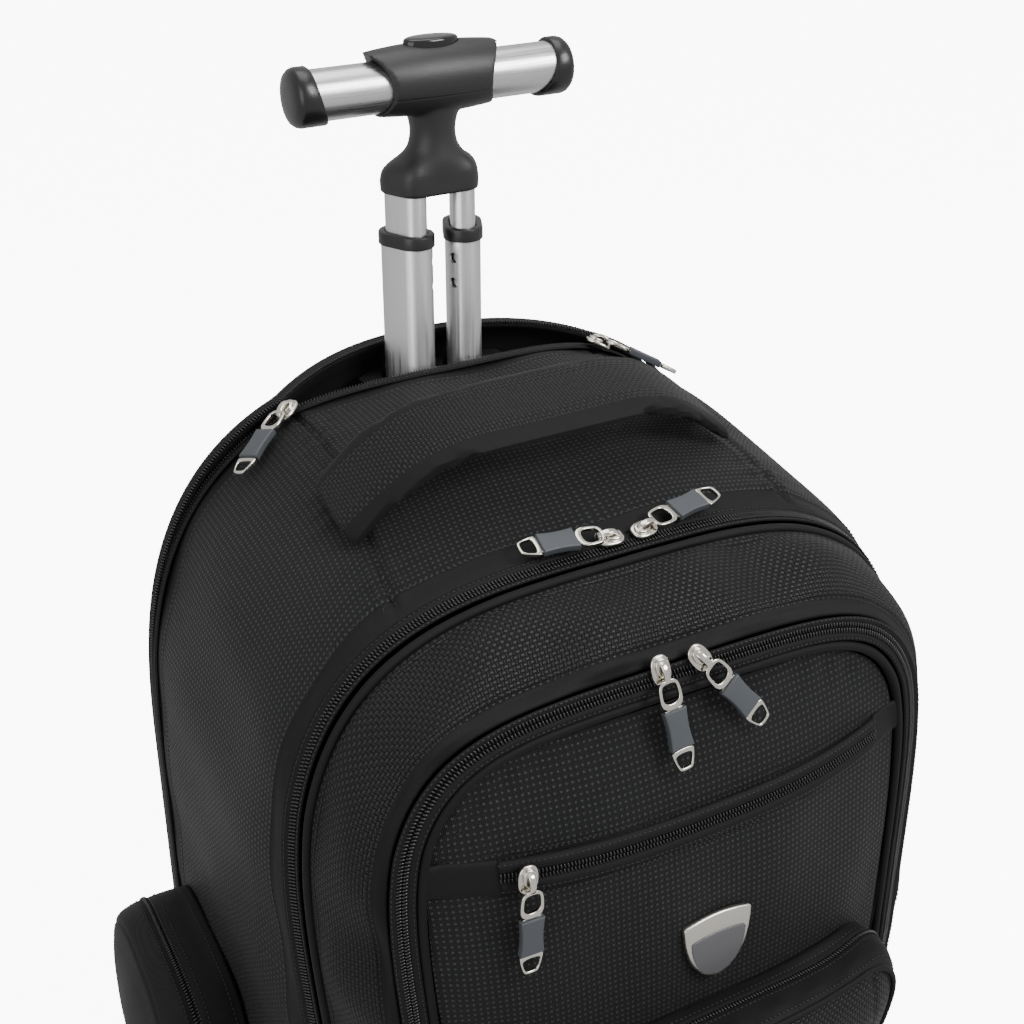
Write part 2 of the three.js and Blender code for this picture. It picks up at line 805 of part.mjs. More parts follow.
function footBlock(side) {
  const sole = trayFront + footSetback + footFrontLean;
  const shape = new THREE.Shape();
  shape.moveTo(trayFront + footSetback, trayFloor + 1);
  shape.lineTo(sole, 0);
  shape.lineTo(sole + footLength, 0);
  shape.lineTo(footRootY, trayFloor + 1);
  const geometry = new THREE.ExtrudeGeometry(shape, { depth: footWidth, bevelEnabled: false });
  geometry.rotateY(Math.PI / 2).rotateX(Math.PI / 2);
  return geometry.translate(side * footX - footWidth / 2, 0, 0);
}

function wheel(side, name) {
  const w = wheelWidth / 2;
  const shoulder = 4;
  const bore = axleRadius + runClearance;
  const tyreBore = hubRadius + gap;
  const tyre = turnedAlongX([
    [tyreBore, -w], [wheelRadius - shoulder, -w], [wheelRadius, -w + shoulder],
    [wheelRadius, w - shoulder], [wheelRadius - shoulder, w], [tyreBore, w], [tyreBore, -w],
  ], wheelSides);
  const hub = turnedAlongX([
    [bore, -w], [10, -w], [10, -w + 6], [hubRadius - 3, -w + 6], [hubRadius, -w + 0.5], [hubRadius, w - 0.5],
    [hubRadius - 3, w - 6], [10, w - 6], [10, w], [bore, w], [bore, -w],
  ], wheelSides);
  const at = (geometry) => geometry.translate(side * wheelX, wheelY, wheelRadius);
  place(`tyre_${name}`, at(tyre), 'tyreRubber');
  place(`hub_${name}`, at(hub), 'blackPlastic');
  const axleLength = trayHalf - (wheelX - wheelWidth / 2 - wheelClearance - cheek);
  const axle = new THREE.CylinderGeometry(axleRadius, axleRadius, axleLength, 12).rotateZ(Math.PI / 2);
  const middle = trayHalf - axleLength / 2;
  place(`axle_${name}`, axle.translate(side * middle, wheelY, wheelRadius), 'steel');
}

// A stadium outline, its long way turned from the Y axis so that the two tubes splay towards the back
function stadium(side, long, short, grow = 0) {
  const r = short / 2 + grow;
  const straight = (long - short) / 2;
  const turn = THREE.MathUtils.degToRad(tubeTurn) * side;
  const steps = 6;
  const points = [];
  for (const end of [1, -1]) {
    for (let i = 0; i <= steps; i += 1) {
      const angle = (end > 0 ? 0 : Math.PI) + (Math.PI * i) / steps;
      points.push([r * Math.cos(angle), end * straight + r * Math.sin(angle)]);
    }
  }
  return points.map(([x, y]) => new THREE.Vector2(
    side * tubeOffset + x * Math.cos(turn) + y * Math.sin(turn),
    trolleyY - x * Math.sin(turn) + y * Math.cos(turn),
  ));
}

function tube(side, long, short, wall, bottom, top) {
  const shape = new THREE.Shape(stadium(side, long, short));
  shape.holes.push(new THREE.Path(stadium(side, long, short, -wall)));
  return prism(shape, bottom, top);
}

// Two round lock holes on the inward flat of a middle tube
function lockHoles(side) {
  const turn = THREE.MathUtils.degToRad(tubeTurn) * side;
  const depth = midShort / 2;
  return [0, 1].map((i) => {
    const hole = new THREE.CylinderGeometry(lockHoleRadius, lockHoleRadius, depth, 12).rotateZ(Math.PI / 2);
    hole.translate(-side * midShort / 2, 0, 0).rotateZ(-turn);
    return hole.translate(side * tubeOffset, trolleyY, midTop - lockHoleDrop - i * lockHolePitch);
  });
}

function trolley() {
  const footBottom = bodyFloor + clothWall + rearFold * 0.5;
  const footTop = footBottom + trolleyFootHeight;
  const footFront = rearRimY - dividerSetback + gap;
  const footRear = trolleyY + sleeveLong * 0.3;
  const guideRear = trolleyY + sleeveLong * 0.53;
  const guideTop = sleeveTop - guideDrop;
  place('trolley_foot', box(-guideHalf, guideHalf, footFront, footRear, footBottom, footTop), 'blackPlastic');
  const guide = new THREE.Shape([
    [-guideHalf, footFront], [guideHalf, footFront], [guideHalf, footRear],
    [guideHalf - guideCorner, guideRear], [guideCorner - guideHalf, guideRear], [-guideHalf, footRear],
  ].map(([x, y]) => new THREE.Vector2(x, y)));
  for (const side of [-1, 1]) {
    guide.holes.push(new THREE.Path(stadium(side, sleeveLong, sleeveShort, gap)));
  }
  place('trolley_guide', prism(guide, guideTop - guideHeight, guideTop), 'blackPlastic');
  for (const [side, name] of [[-1, 'left'], [1, 'right']]) {
    const sleeve = tube(side, sleeveLong, sleeveShort, sleeveWall, footTop + gap, sleeveTop);
    place(`sleeve_${name}`, sleeve, 'aluminium');
    const mid = tube(side, midLong, midShort, midWall, midTop - midLength, midTop);
    place(`mid_tube_${name}`, cut(mid, ...lockHoles(side)), 'aluminium');
    const collar = new THREE.Shape(stadium(side, midLong, midShort, collarProud));
    collar.holes.push(new THREE.Path(stadium(side, innerLong, innerShort, gap)));
    place(`collar_${name}`, prism(collar, midTop + gap, midTop + gap + collarHeight), 'blackPlastic');
    const innerTop = skirtBottom + socketDepth;
    const inner = tube(side, innerLong, innerShort, innerWall, innerTop - innerLength, innerTop);
    place(`inner_tube_${name}`, inner, 'aluminium');
  }
}

// Grip stations from the skirt up to the barrel. rise is a share of the way from the skirt to the bar,
// wrap is how closely the section follows the two tubes, wide and deep are shares of the skirt's size.
const gripStations = [
  { rise: 0.0, wrap: 1.0, wide: 1.0, deep: 1.0 },
  { rise: 0.0, wrap: 1.0, wide: 1.0, deep: 1.0 },
  { rise: 0.08, wrap: 0.9, wide: 0.95, deep: 1.0 },
  { rise: 0.15, wrap: 0.6, wide: 0.84, deep: 0.97 },
  { rise: 0.22, wrap: 0.3, wide: 0.66, deep: 0.92 },
  { rise: 0.3, wrap: 0.0, wide: 0.53, deep: 0.85 },
  { rise: 0.42, wrap: 0.0, wide: 0.45, deep: 0.8 },
  { rise: 0.6, wrap: 0.0, wide: 0.47, deep: 0.8 },
  { rise: 0.8, wrap: 0.0, wide: 0.62, deep: 0.85 },
];

// The barrel along the bar, as shares of its radius and half length
const barrelRows = [
  { radius: 0, place: -1 },
  { radius: 0.87, place: -1 },
  { radius: 0.96, place: -0.5 },
  { radius: 1, place: 0 },
  { radius: 0.96, place: 0.5 },
  { radius: 0.87, place: 1 },
  { radius: 0, place: 1 },
];

// How far the skirt reaches in a direction in plan: a tight wrap round both inner tubes
function skirtReach(angle) {
  const tubes = [-1, 1].flatMap((side) => stadium(side, innerLong, innerShort, skirtWall));
  const turns = Array.from({ length: 48 }, (_, i) => (2 * Math.PI * i) / 48);
  const support = (turn) => Math.max(...tubes.map((point) => {
    return point.x * Math.cos(turn) + (point.y - trolleyY) * Math.sin(turn);
  }));
  const facing = turns.filter((turn) => Math.cos(turn - angle) > 0.1);
  return Math.min(...facing.map((turn) => support(turn) / Math.cos(turn - angle)));
}

function gripMoulding() {
  const steps = 20;
  const rings = gripStations.map((row, k) => Array.from({ length: steps }, (_, i) => {
    const angle = (2 * Math.PI * i) / steps;
    const reach = skirtReach(angle);
    const x = mix(skirtHalf * Math.cos(angle), reach * Math.cos(angle), row.wrap) * row.wide;
    const y = mix(skirtDepth * Math.sin(angle), reach * Math.sin(angle), row.wrap) * row.deep;
    return [x, trolleyY + y, k === 0 ? skirtBottom : mix(skirtBottom + skirtHeight, barHeight, row.rise)];
  }));
  const profile = barrelRows.map((row) => [row.radius * barrelRadius, row.place * barrelHalf]);
  const barrel = turnedAlongX(profile, barSides).translate(0, trolleyY, barHeight + barrelRise);
  const hole = barRadius + gap;
  const tools = [cylinderAlongX(hole, barrelHalf * 2 + 2, 0, barSides)];
  for (const side of [-1, 1]) {
    const crescent = new THREE.CylinderGeometry(crescentRadius, crescentRadius, barrelRadius * 3, 12);
    const at = side * (barrelHalf - crescentDepth + crescentRadius);
    tools.push(crescent.translate(at, trolleyY, barHeight));
    const socket = new THREE.Shape(stadium(side, innerLong, innerShort, gap));
    tools.push(prism(socket, skirtBottom - 1, skirtBottom + socketDepth + gap));
  }
  tools.push(ovalPrism(gap, barHeight, barHeight + barrelRadius + barrelRise + 2));
  return cut(join(ringBody(rings), barrel), ...tools);
}

function cylinderAlongX(radius, length, x, segments) {
  const geometry = new THREE.CylinderGeometry(radius, radius, length, segments).rotateZ(Math.PI / 2);
  return geometry.translate(x, trolleyY, barHeight);
}

// The push button's oval, grown by a clearance
function ovalPrism(grow, bottom, top) {
  const steps = 16;
  const points = Array.from({ length: steps }, (_, i) => {
    const angle = (2 * Math.PI * i) / steps;
    return new THREE.Vector2(
      (buttonHalf + grow) * Math.cos(angle),
      trolleyY + (buttonHalfWidth + grow) * Math.sin(angle),
    );
  });
  return prism(new THREE.Shape(points), bottom, top);
}

function endCap(side) {
  const start = barHalf - capLap;
  const end = start + capLength;
  const profile = [
    [0, end], [capRadius * 0.55, end - 0.6], [capRadius * 0.9, end - 2.4], [capRadius, end - 5],
    [capRadius, start], [barRadius + gap, start], [barRadius + gap, barHalf + gap], [0, barHalf + gap],
  ];
  const cap = turnedAlongX(profile, barSides);
  if (side < 0) {
    cap.rotateZ(Math.PI);
  }
  return cap.translate(0, trolleyY, barHeight);
}

function grip() {
  place('grip_moulding', gripMoulding(), 'blackPlastic');
  const bar = cut(
    cylinderAlongX(barRadius, barHalf * 2, 0, barSides),
    cylinderAlongX(barRadius - barWall, barHalf * 2 + 2, 0, barSides),
  );
  place('grip_bar', bar, 'aluminium');
  for (const [side, name] of [[-1, 'left'], [1, 'right']]) {
    place(`end_cap_${name}`, endCap(side), 'blackPlastic');
  }
  const buttonTop = barHeight + barrelRise + barrelRadius + buttonProud;
  place('release_button', ovalPrism(0, buttonTop - buttonHeight, buttonTop), 'blackPlastic');
}

// A flat band swept along a path. across gives the way of its width at each point.
function sweptBand(path, across, width, thickness) {
  const rounding = [
    [-0.5, -0.22], [-0.4, -0.5], [0.4, -0.5], [0.5, -0.22],
    [0.5, 0.22], [0.4, 0.5], [-0.4, 0.5], [-0.5, 0.22],
  ];
  const rings = path.map((point, i) => {
    const before = path[Math.max(0, i - 1)];
    const after = path[Math.min(path.length - 1, i + 1)];
    const along = after.clone().sub(before).normalize();
    const out = along.clone().cross(across(i)).normalize();
    const wide = out.clone().cross(along).normalize();
    return rounding.map(([u, v]) => {
      const corner = point.clone().addScaledVector(wide, u * width(i)).addScaledVector(out, v * thickness);
      return corner.toArray();
    });
  });
  return ringBody(rings);
}

function carryHandle() {
  const steps = 18;
  const centreY = (x) => carryY - carryForward * Math.max(0, 1 - ((x - carryX) / carryReach) ** 2);
  const lift = (x) => Math.max(0, 1 - ((x - carryX) / carryReach) ** 4) ** 1.5;
  const slope = (x, y) => {
    const span = carryWidth / 2;
    return new THREE.Vector3(0, 2 * span, bodyHeight(x, y + span) - bodyHeight(x, y - span));
  };
  const xs = Array.from({ length: steps + 1 }, (_, i) => carryX + mix(-carryReach, carryReach, i / steps));
  const seat = carryThickness / 2 + gap * 2;
  const path = xs.map((x) => {
    const y = centreY(x);
    return new THREE.Vector3(x, y, bodyHeight(x, y) + seat + carryLift * lift(x));
  });
  const across = (i) => {
    return slope(xs[i], path[i].y).normalize();
  };
  return sweptBand(path, across, () => carryWidth, carryThickness);
}

// Back panel: a crowned pad on the bowed back
const padOutline = { half: padHalf, top: padTop, shoulder: 3.2, floor: padFloor, corner: floorCorner };

function padNorm(x, z) {
  const middle = (padTop + padFloor) / 2;
  const reach = (padTop - padFloor) / 2;
  return (Math.abs(x / padHalf) ** 4 + Math.abs((z - middle) / reach) ** 4) ** 0.25;
}
const padCrown = (x, z) => (padThickness - padEdge) * Math.max(0, 1 - padNorm(x, z) ** 4);
const padSurface = (x, z) => backY(x) + faceGap + padEdge + padCrown(x, z);

function backPanel() {
  return columnBody(padOutline, 0, (x) => backY(x) + faceGap, padSurface, 4);
}

// The back of the pad where a strap of some width lies on it
function padUnder(x, z, width) {
  return Math.max(...[-0.5, -0.25, 0, 0.25, 0.5].map((share) => padSurface(x + share * width, z)));
}

function shoulderStrap(side) {
  const steps = 12;
  const path = Array.from({ length: steps + 1 }, (_, i) => {
    const t = i / steps;
    const x = side * (strapTopX + strapSpread * t ** 1.3);
    const z = mix(strapTop, strapFoot, t);
    const bulge = strapBulge * Math.sin(Math.PI * t) ** 1.1;
    return new THREE.Vector3(x, padUnder(x, z, strapWidth) + strapSeat + bulge, z);
  });
  const width = (i) => strapWidth * (1 - 0.25 * (i / steps) ** 2);
  return sweptBand(path, () => new THREE.Vector3(1, 0, 0), width, strapThickness);
}

function strapWebbing(side) {
  const steps = 6;
  const startX = strapTopX + strapSpread;
  const path = Array.from({ length: steps + 1 }, (_, i) => {
    const t = i / steps;
    const x = side * mix(startX, startX + 14, t);
    const z = mix(strapFoot - gap, webbingFoot, t);
    return new THREE.Vector3(x, padUnder(x, z, webbingWidth) + webbingThickness / 2 + faceGap, z);
  });
  return sweptBand(path, () => new THREE.Vector3(1, 0, 0), () => webbingWidth, webbingThickness);
}

// Zip pull: local X runs from the slider to the loop, Y across it, Z away from the cloth.
// The outline's rows are shares of the pull's length and of half its width.
const pullOutline = [
  { along: -0.12, side: 0.5 },
  { along: -0.06, side: 0.8 },
  { along: 0.12, side: 0.6 },
  { along: 0.16, side: 1.0 },
  { along: 0.36, side: 1.0 },
  { along: 0.37, side: 0.8 },
  { along: 0.79, side: 0.8 },
  { along: 0.8, side: 1.0 },
  { along: 0.97, side: 0.6 },
  { along: 1.0, side: 0.3 },
];

function pullMetal() {
  const half = pullWidth / 2;
  const edge = pullOutline.map((row) => [row.along * pullLength, row.side * half]);
  const mirrored = edge.map(([x, y]) => [x, -y]);
  const outline = mirrored.concat(edge.reverse());
  const shape = new THREE.Shape(outline.map(([x, y]) => new THREE.Vector2(x, y)));
  const windows = [
    [0.16 * pullLength + pullRim, 0.36 * pullLength - pullRim, half - pullRim, half - pullRim],
    [0.8 * pullLength + pullRim, pullLength - pullRim, half - pullRim, half * 0.35],
  ];
  for (const [x0, x1, y0, y1] of windows) {
    const corners = [[x0, -y0], [x0, y0], [x1, y1], [x1, -y1]];
    shape.holes.push(new THREE.Path(corners.map(([x, y]) => new THREE.Vector2(x, y))));
  }
  const plate = prism(shape, 0, pullThickness);
  const slider = box(-0.12 * pullLength, 0.1 * pullLength, -half * 0.7, half * 0.7, -sliderHeight + 1, 0.5);
  return join(plate, slider);
}

function pullGrip() {
  const start = 0.37 * pullLength + gap;
  const end = Math.min(start + gripPadLength, 0.78 * pullLength - gap);
  const half = pullWidth / 2;
  return box(start, end, -half, half, pullThickness + gap, pullThickness + gap + gripPadThickness);
}

// at is the slider's place on the zip, to is where the loop lies, out is the way off the cloth
function zipPull(name, at, to, out) {
  const along = new THREE.Vector3(...to).sub(new THREE.Vector3(...at)).normalize();
  const across = new THREE.Vector3(...out).cross(along).normalize();
  const off = along.clone().cross(across).normalize();
  const turned = new THREE.Group();
  turned.quaternion.setFromRotationMatrix(new THREE.Matrix4().makeBasis(along, across, off));
  turned.position.set(leanedX(...at), at[1], at[2]);
  bag.add(turned);
  place(`pull_${name}`, pullMetal(), 'nickel', turned);
  place(`pull_grip_${name}`, pullGrip(), 'gripRubber', turned);
}

// Where each pull's slider stands and how far its loop reaches. lift is the slider's distance off the
// place where it would touch the zip, and tip the loop's.
const rearPull = { setback: 8, reach: 35, fore: 24, lift: 1.8, lean: 0.6 };
const mainPulls = [
  { name: 'left', x: -1, reach: -54, fore: 5, lift: -2.5, tip: 3 },
  { name: 'right', x: 19, reach: 40, fore: 7, lift: -2.9, tip: 2.6 },
];
const pocketPulls = [
  { name: 'left', x: -11, reach: 4, above: 3, lift: -2.6, tip: -1 },
  { name: 'right', x: 10, reach: 36, above: 3, lift: -2.6, tip: -1 },
];
const weltPull = { inset: 10, reach: -2, lift: 2.4, tip: -2 };
const lowerPull = { x: -14, reach: 6, below: 14, lift: -0.8 };

function zipPulls() {
  const stand = sliderHeight + zipThickness - 1;
  const onTop = (x, y, height) => [x, y, bodyHeight(x, y) + height];
  for (const [side, name] of [[-1, 'left'], [1, 'right']]) {
    const startY = rearRimY - rearPull.setback;
    const at = onTop(side * slitHalf, startY, stand + rearPull.lift);
    const to = onTop(side * (slitHalf + rearPull.reach), startY - rearPull.fore, stand + rearPull.lift);
    zipPull(`rear_${name}`, at, to, [side * rearPull.lean, 0, 1]);
  }
  for (const row of mainPulls) {
    const zipTop = (x) => bodyHeight(x, mainZipY + 1) + stand + row.lift;
    const startY = mainZipY - 3;
    const to = [row.x + row.reach, startY + row.fore, zipTop(row.x + row.reach) + row.tip];
    zipPull(`main_${row.name}`, [row.x, startY, zipTop(row.x)], to, [0, -0.35, 1]);
  }
  for (const row of pocketPulls) {
    const z = pocketTop + zipBandWidth + row.above;
    const low = z - pullLength;
    const tipX = row.x + row.reach;
    const at = [row.x, pocketPlane(z) - stand - row.lift, z];
    zipPull(`pocket_${row.name}`, at, [tipX, pocketFace(tipX, low) - stand - row.tip, low], [0, -1, 0.3]);
  }
  const weltPullX = weltX - weltHalf + weltPull.inset;
  const weltTip = weltHeight - pullLength;
  const weltAt = [weltPullX, pocketFace(weltPullX, weltHeight) - stand - weltPull.lift, weltHeight];
  const weltTo = [weltPullX + weltPull.reach, pocketFace(weltPullX, weltTip) - stand - weltPull.tip, weltTip];
  zipPull('welt', weltAt, weltTo, [0, -1, 0.2]);
  const lowZ = lowerPocketTop - lowerPull.below;
  const lowTip = lowZ - pullLength;
  const lowAt = [lowerPull.x, lowerPocketFace(lowerPull.x, lowZ) - stand - lowerPull.lift, lowZ];
  const lowTo = [lowerPull.x + lowerPull.reach, lowerPocketFace(lowerPull.x, lowTip) - stand, lowTip];
  zipPull('lower', lowAt, lowTo, [0, -1, 0.2]);
}

// Badge: a small bare shield. The rows are shares of its half width and its height.
const shieldRows = [
  { side: 0, up: 0.5 },
  { side: 0.55, up: 0.47 },
  { side: 1, up: 0.36 },
  { side: 0.95, up: 0.0 },
  { side: 0.72, up: -0.28 },
  { side: 0.36, up: -0.44 },
  { side: 0, up: -0.5 },
];

function shield(scale) {
  const right = shieldRows.map((row) => [row.side * badgeHalf * scale, row.up * badgeHeight * scale]);
  const left = right.slice(1, -1).reverse().map(([x, y]) => [-x, y]);
  return new THREE.Shape(right.concat(left).map(([x, y]) => new THREE.Vector2(x, y)));
}

function badge() {
  const turned = new THREE.Group();
  const corners = [[-1, 0.4], [1, 0.4], [0, -0.5], [0, 0.5], [0, 0], [-1, 0], [1, 0]];
  const tilt = Math.atan(pocketLean);
  const face = corners.map(([u, v]) => {
    const z = badgeZ + v * badgeHeight;
    return pocketFace(badgeX + u * badgeHalf, z) - (z - badgeZ) * pocketLean;
  });
  turned.position.set(leanedX(badgeX, pocketY, badgeZ), Math.min(...face) - gap * 3, badgeZ);
  turned.rotation.x = Math.PI / 2 - tilt;
  bag.add(turned);
  const insetFoot = badgeThickness + gap;
  place('badge_plate', prism(shield(1), 0, badgeThickness), 'nickel', turned);
  const inset = prism(shield(insetScale), insetFoot, insetFoot + insetThickness);
  place('badge_inset', inset, 'gripRubber', turned);
}

placeSoft('main_shell', mainShell(), 'dobby');
placeSoft('rear_shell', rearShell(), 'dobby');
placeSoft('back_panel', backPanel(), 'padding');
placeSoft('rear_zip_front_row', rearZipRow(-1), 'tape');
placeSoft('rear_zip_rear_row', rearZipRow(1), 'tape');
placeSoft('carry_handle', carryHandle(), 'ballistic');
placeSoft('main_zip', mainZip(), 'tape');
placeSoft('main_piping', cordLoop(frontOutline, (x, z) => mainPlane(z), pipingRadius), 'tape');
placeSoft('front_gusset', frontGusset(), 'ballistic');
placeSoft('pocket_zip', pocketZip(), 'tape');
placeSoft('pocket_piping', cordLoop(pocketOutline, (x, z) => pocketPlane(z), pipingRadius), 'tape');
placeSoft('front_pocket', frontPocket(), 'dobby');
placeSoft('welt_zip', faceStrip(weltX, weltHalf, weltHeight, weltWidth, zipThickness, pocketFace), 'tape');
placeSoft('lower_pocket', lowerPocket(), 'dobby');
placeSoft('side_pocket_left', sidePocket(-1), 'ballistic');
placeSoft('side_pocket_right', sidePocket(1), 'ballistic');
place('base_tray', baseTray(), 'blackPlastic');
for (const [side, name] of [[-1, 'left'], [1, 'right']]) {
  place(`shoulder_strap_${name}`, shoulderStrap(side), 'padding');
  place(`strap_webbing_${name}`, strapWebbing(side), 'tape');
  wheel(side, name);
}
trolley();
grip();
zipPulls();
badge();

// Stand the whole model on the origin: the middle of its footprint, on the floor
const bounds = new THREE.Box3().setFromObject(bag);
bag.position.set(-(bounds.min.x + bounds.max.x) / 2, -(bounds.min.y + bounds.max.y) / 2, -bounds.min.z);

export default bag;
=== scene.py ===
"""Wheeled backpack: fabrics, zips, seams, metal and rubber modelled over its CAD frame.

Shapes are worked out in the CAD source's millimetres and turned into the frame's metres in one place.
"""
import math
from collections import namedtuple

import bmesh
import bpy
import numpy as np
from mathutils import Matrix, Vector


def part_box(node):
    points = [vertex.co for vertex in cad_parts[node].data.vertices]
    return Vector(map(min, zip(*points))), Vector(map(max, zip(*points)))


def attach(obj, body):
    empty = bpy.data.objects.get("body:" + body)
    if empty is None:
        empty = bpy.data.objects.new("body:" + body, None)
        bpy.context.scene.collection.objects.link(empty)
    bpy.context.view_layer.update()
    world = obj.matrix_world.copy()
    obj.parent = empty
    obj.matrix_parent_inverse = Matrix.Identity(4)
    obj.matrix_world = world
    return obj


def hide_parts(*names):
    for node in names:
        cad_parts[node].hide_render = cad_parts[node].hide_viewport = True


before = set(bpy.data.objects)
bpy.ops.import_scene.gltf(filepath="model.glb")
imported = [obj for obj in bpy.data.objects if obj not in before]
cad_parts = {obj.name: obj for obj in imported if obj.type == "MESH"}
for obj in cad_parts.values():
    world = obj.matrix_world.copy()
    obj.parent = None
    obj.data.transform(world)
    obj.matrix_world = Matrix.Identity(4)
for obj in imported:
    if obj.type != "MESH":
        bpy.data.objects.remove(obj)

bl_info = {
    "name": "Wheeled backpack",
    "version": (1, 0, 0),
    "blender": (4, 5, 0),
    "location": "View3D > Sidebar > Backpack",
    "description": "Builds the visual pieces of a wheeled backpack over its CAD frame",
    "category": "Object",
}

# Sizes shared with the CAD source, in millimetres
BODY_HALF = 178.0
BODY_TOP = 441.0
BODY_FLOOR = 82.3
FLOOR_CORNER = 38.0
SPRING_SHARE = 0.555
FRONT_LEAN = 0.105
LEAN_FOOT = 180.0
REAR_RIM_Y = 92.0
MAIN_DEPTH = 168.0
DIVIDER_SETBACK = 13.5
CLOTH_WALL = 2.5
SIDE_LEAN = -0.02
FRONT_TAPER = 0.17
TAPER_TOP = 330.0
TAPER_BACK_Y = -60.0
TAPER_FRONT_Y = -150.0
BACK_EDGE_Y = 104.0
BACK_BOW = 23.0
BACK_BOW_HALF = 110.0
REAR_RISE = 7.0
SLIT_HALF = 93.9
SLIT_FRONT = 12.0
SLIT_REAR = 24.0
SLIT_DEPTH = 45.0
REAR_ZIP_FOOT = 130.0
MAIN_ZIP_Y = -76.0
MAIN_PIPING_Y = -88.8
POCKET_Y = -138.6
POCKET_LEAN = 0.07
POCKET_CROWN = 20.0
PIPING_RADIUS = 2.5
GAP = 0.3
WELT_X = 6.0
WELT_HALF = 105.0
WELT_HEIGHT = 311.0
WELT_WIDTH = 15.0
WELT_SAG = 4.0
LOWER_HALF = 121.0
LOWER_TOP = 210.0
LOWER_FLOOR = 112.0
LOWER_DEPTH = 28.0
LOWER_CROWN = 6.0
LOWER_CORNER = 26.0
SIDE_Y = 22.0
SIDE_HALF = 62.0
SIDE_TOP = 186.0
SIDE_FLOOR = 86.0
SIDE_DEPTH = 40.0
SIDE_CROWN = 8.0
CARRY_X = -7.0
CARRY_Y = -11.0
CARRY_REACH = 102.0
CARRY_LIFT = 23.0
CARRY_FORWARD = 11.0
CARRY_WIDTH = 53.0
CARRY_THICKNESS = 8.0
PAD_THICKNESS = 12.0
PAD_HALF = 150.0
PAD_TOP = 424.0
PAD_FLOOR = 112.0
STRAP_WIDTH = 58.0
STRAP_THICKNESS = 11.0
STRAP_TOP_X = 48.0
STRAP_SPREAD = 44.0
STRAP_TOP = 408.0
STRAP_FOOT = 196.0
STRAP_BULGE = 22.0
STRAP_SEAT = 3.3
WEBBING_WIDTH = 25.0
WEBBING_THICKNESS = 2.0
WEBBING_FOOT = 122.0
TROLLEY_Y = 98.3
TUBE_OFFSET = 16.15
TUBE_TURN = math.radians(25)
SLEEVE_LONG, SLEEVE_SHORT = 34.0, 23.4
MIDDLE_LONG, MIDDLE_SHORT = 28.8, 18.15
INNER_LONG, INNER_SHORT = 23.7, 12.8
MIDDLE_TOP = 504.7
LOCK_DROPS = (8.6, 22.0)
LOCK_RADIUS = 2.75
SKIRT_BOTTOM = 531.0
BAR_HEIGHT = 585.5
BAR_RADIUS = 12.5
BAR_HALF = 67.5
BARREL_RISE = 1.9
BARREL_HALF = 35.5
BARREL_RADIUS = 17.6
CRESCENT_RADIUS = 20.0
CRESCENT_X = 46.5
WHEEL_X = 151.0
WHEEL_Y = 86.0
WHEEL_RADIUS = 36.0
WHEEL_WIDTH = 22.0
BAND_WIDTH = 9.0
HANDLE_BINDING = 0.31

Outline = namedtuple("Outline", "half top shoulder floor corner")
FRONT = Outline(BODY_HALF * 0.95, BODY_TOP * 0.921, 3.5, BODY_FLOOR + 3, FLOOR_CORNER)
POCKET = Outline(135.5, 366.0, 5.0, 104.0, FLOOR_CORNER)
POCKET_ZIP = Outline(150.0, 380.5, 4.4, 92.0, FLOOR_CORNER)
PAD = Outline(PAD_HALF, PAD_TOP, 3.2, PAD_FLOOR, FLOOR_CORNER)

# Main body sections from the main zip to the back rim, as shares of its depth, half width and height
MAIN_SECTIONS = [
    {"depth": 0.0, "half": 0.985, "top": 0.935, "shoulder": 3.35},
    {"depth": 0.12, "half": 1.0, "top": 0.956, "shoulder": 3.2},
    {"depth": 0.35, "half": 1.005, "top": 0.984, "shoulder": 2.95},
    {"depth": 0.7, "half": 0.995, "top": 1.0, "shoulder": 2.9},
    {"depth": 1.0, "half": 0.975, "top": 0.997, "shoulder": 2.9},
]

# The CAD model stands on the origin. Its grip bar shows how far it was moved from the source's axes.
_bar_low, _bar_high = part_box("grip_bar")
OFFSET = np.array([
    (_bar_low[0] + _bar_high[0]) * 500,
    (_bar_low[1] + _bar_high[1]) * 500 - TROLLEY_Y,
    0.0,
])


# Settings

class ClothSettings(bpy.types.PropertyGroup):
    dobby: bpy.props.FloatVectorProperty(
        name="Dobby nylon", description="Ground colour of the dotted nylon", subtype="COLOR",
        size=3, min=0, max=1, default=(0.0040, 0.0042, 0.0043))
    ballistic: bpy.props.FloatVectorProperty(
        name="Ballistic nylon", description="Ground colour of the coarse woven nylon", subtype="COLOR",
        size=3, min=0, max=1, default=(0.0036, 0.0037, 0.0038))
    tape: bpy.props.FloatVectorProperty(
        name="Tape", description="Colour of the zip tape and binding", subtype="COLOR",
        size=3, min=0, max=1, default=(0.0022, 0.0022, 0.0023))
    dot_pitch: bpy.props.FloatProperty(
        name="Dot pitch", description="Distance between the woven dots", default=0.0029, unit="LENGTH")
    weave_pitch: bpy.props.FloatProperty(
        name="Weave pitch", description="Width of one thread of the coarse weave", default=0.0018,
        unit="LENGTH")
    wrinkle: bpy.props.FloatProperty(
        name="Wrinkle depth", description="Height of the soft waves in the cloth", default=0.0012,
        unit="LENGTH")
    stitch_pitch: bpy.props.FloatProperty(
        name="Stitch pitch", description="Distance from one stitch to the next", default=0.003, unit="LENGTH")


class ZipSettings(bpy.types.PropertyGroup):
    tooth_pitch: bpy.props.FloatProperty(
        name="Tooth pitch", description="Distance between two coils of one side", default=0.0017,
        unit="LENGTH")
    tooth_length: bpy.props.FloatProperty(
        name="Tooth length", description="Length of a coil across the zip", default=0.0034, unit="LENGTH")
    tooth: bpy.props.FloatVectorProperty(
        name="Coil", description="Colour of the zip's coils", subtype="COLOR",
        size=3, min=0, max=1, default=(0.012, 0.012, 0.0125))


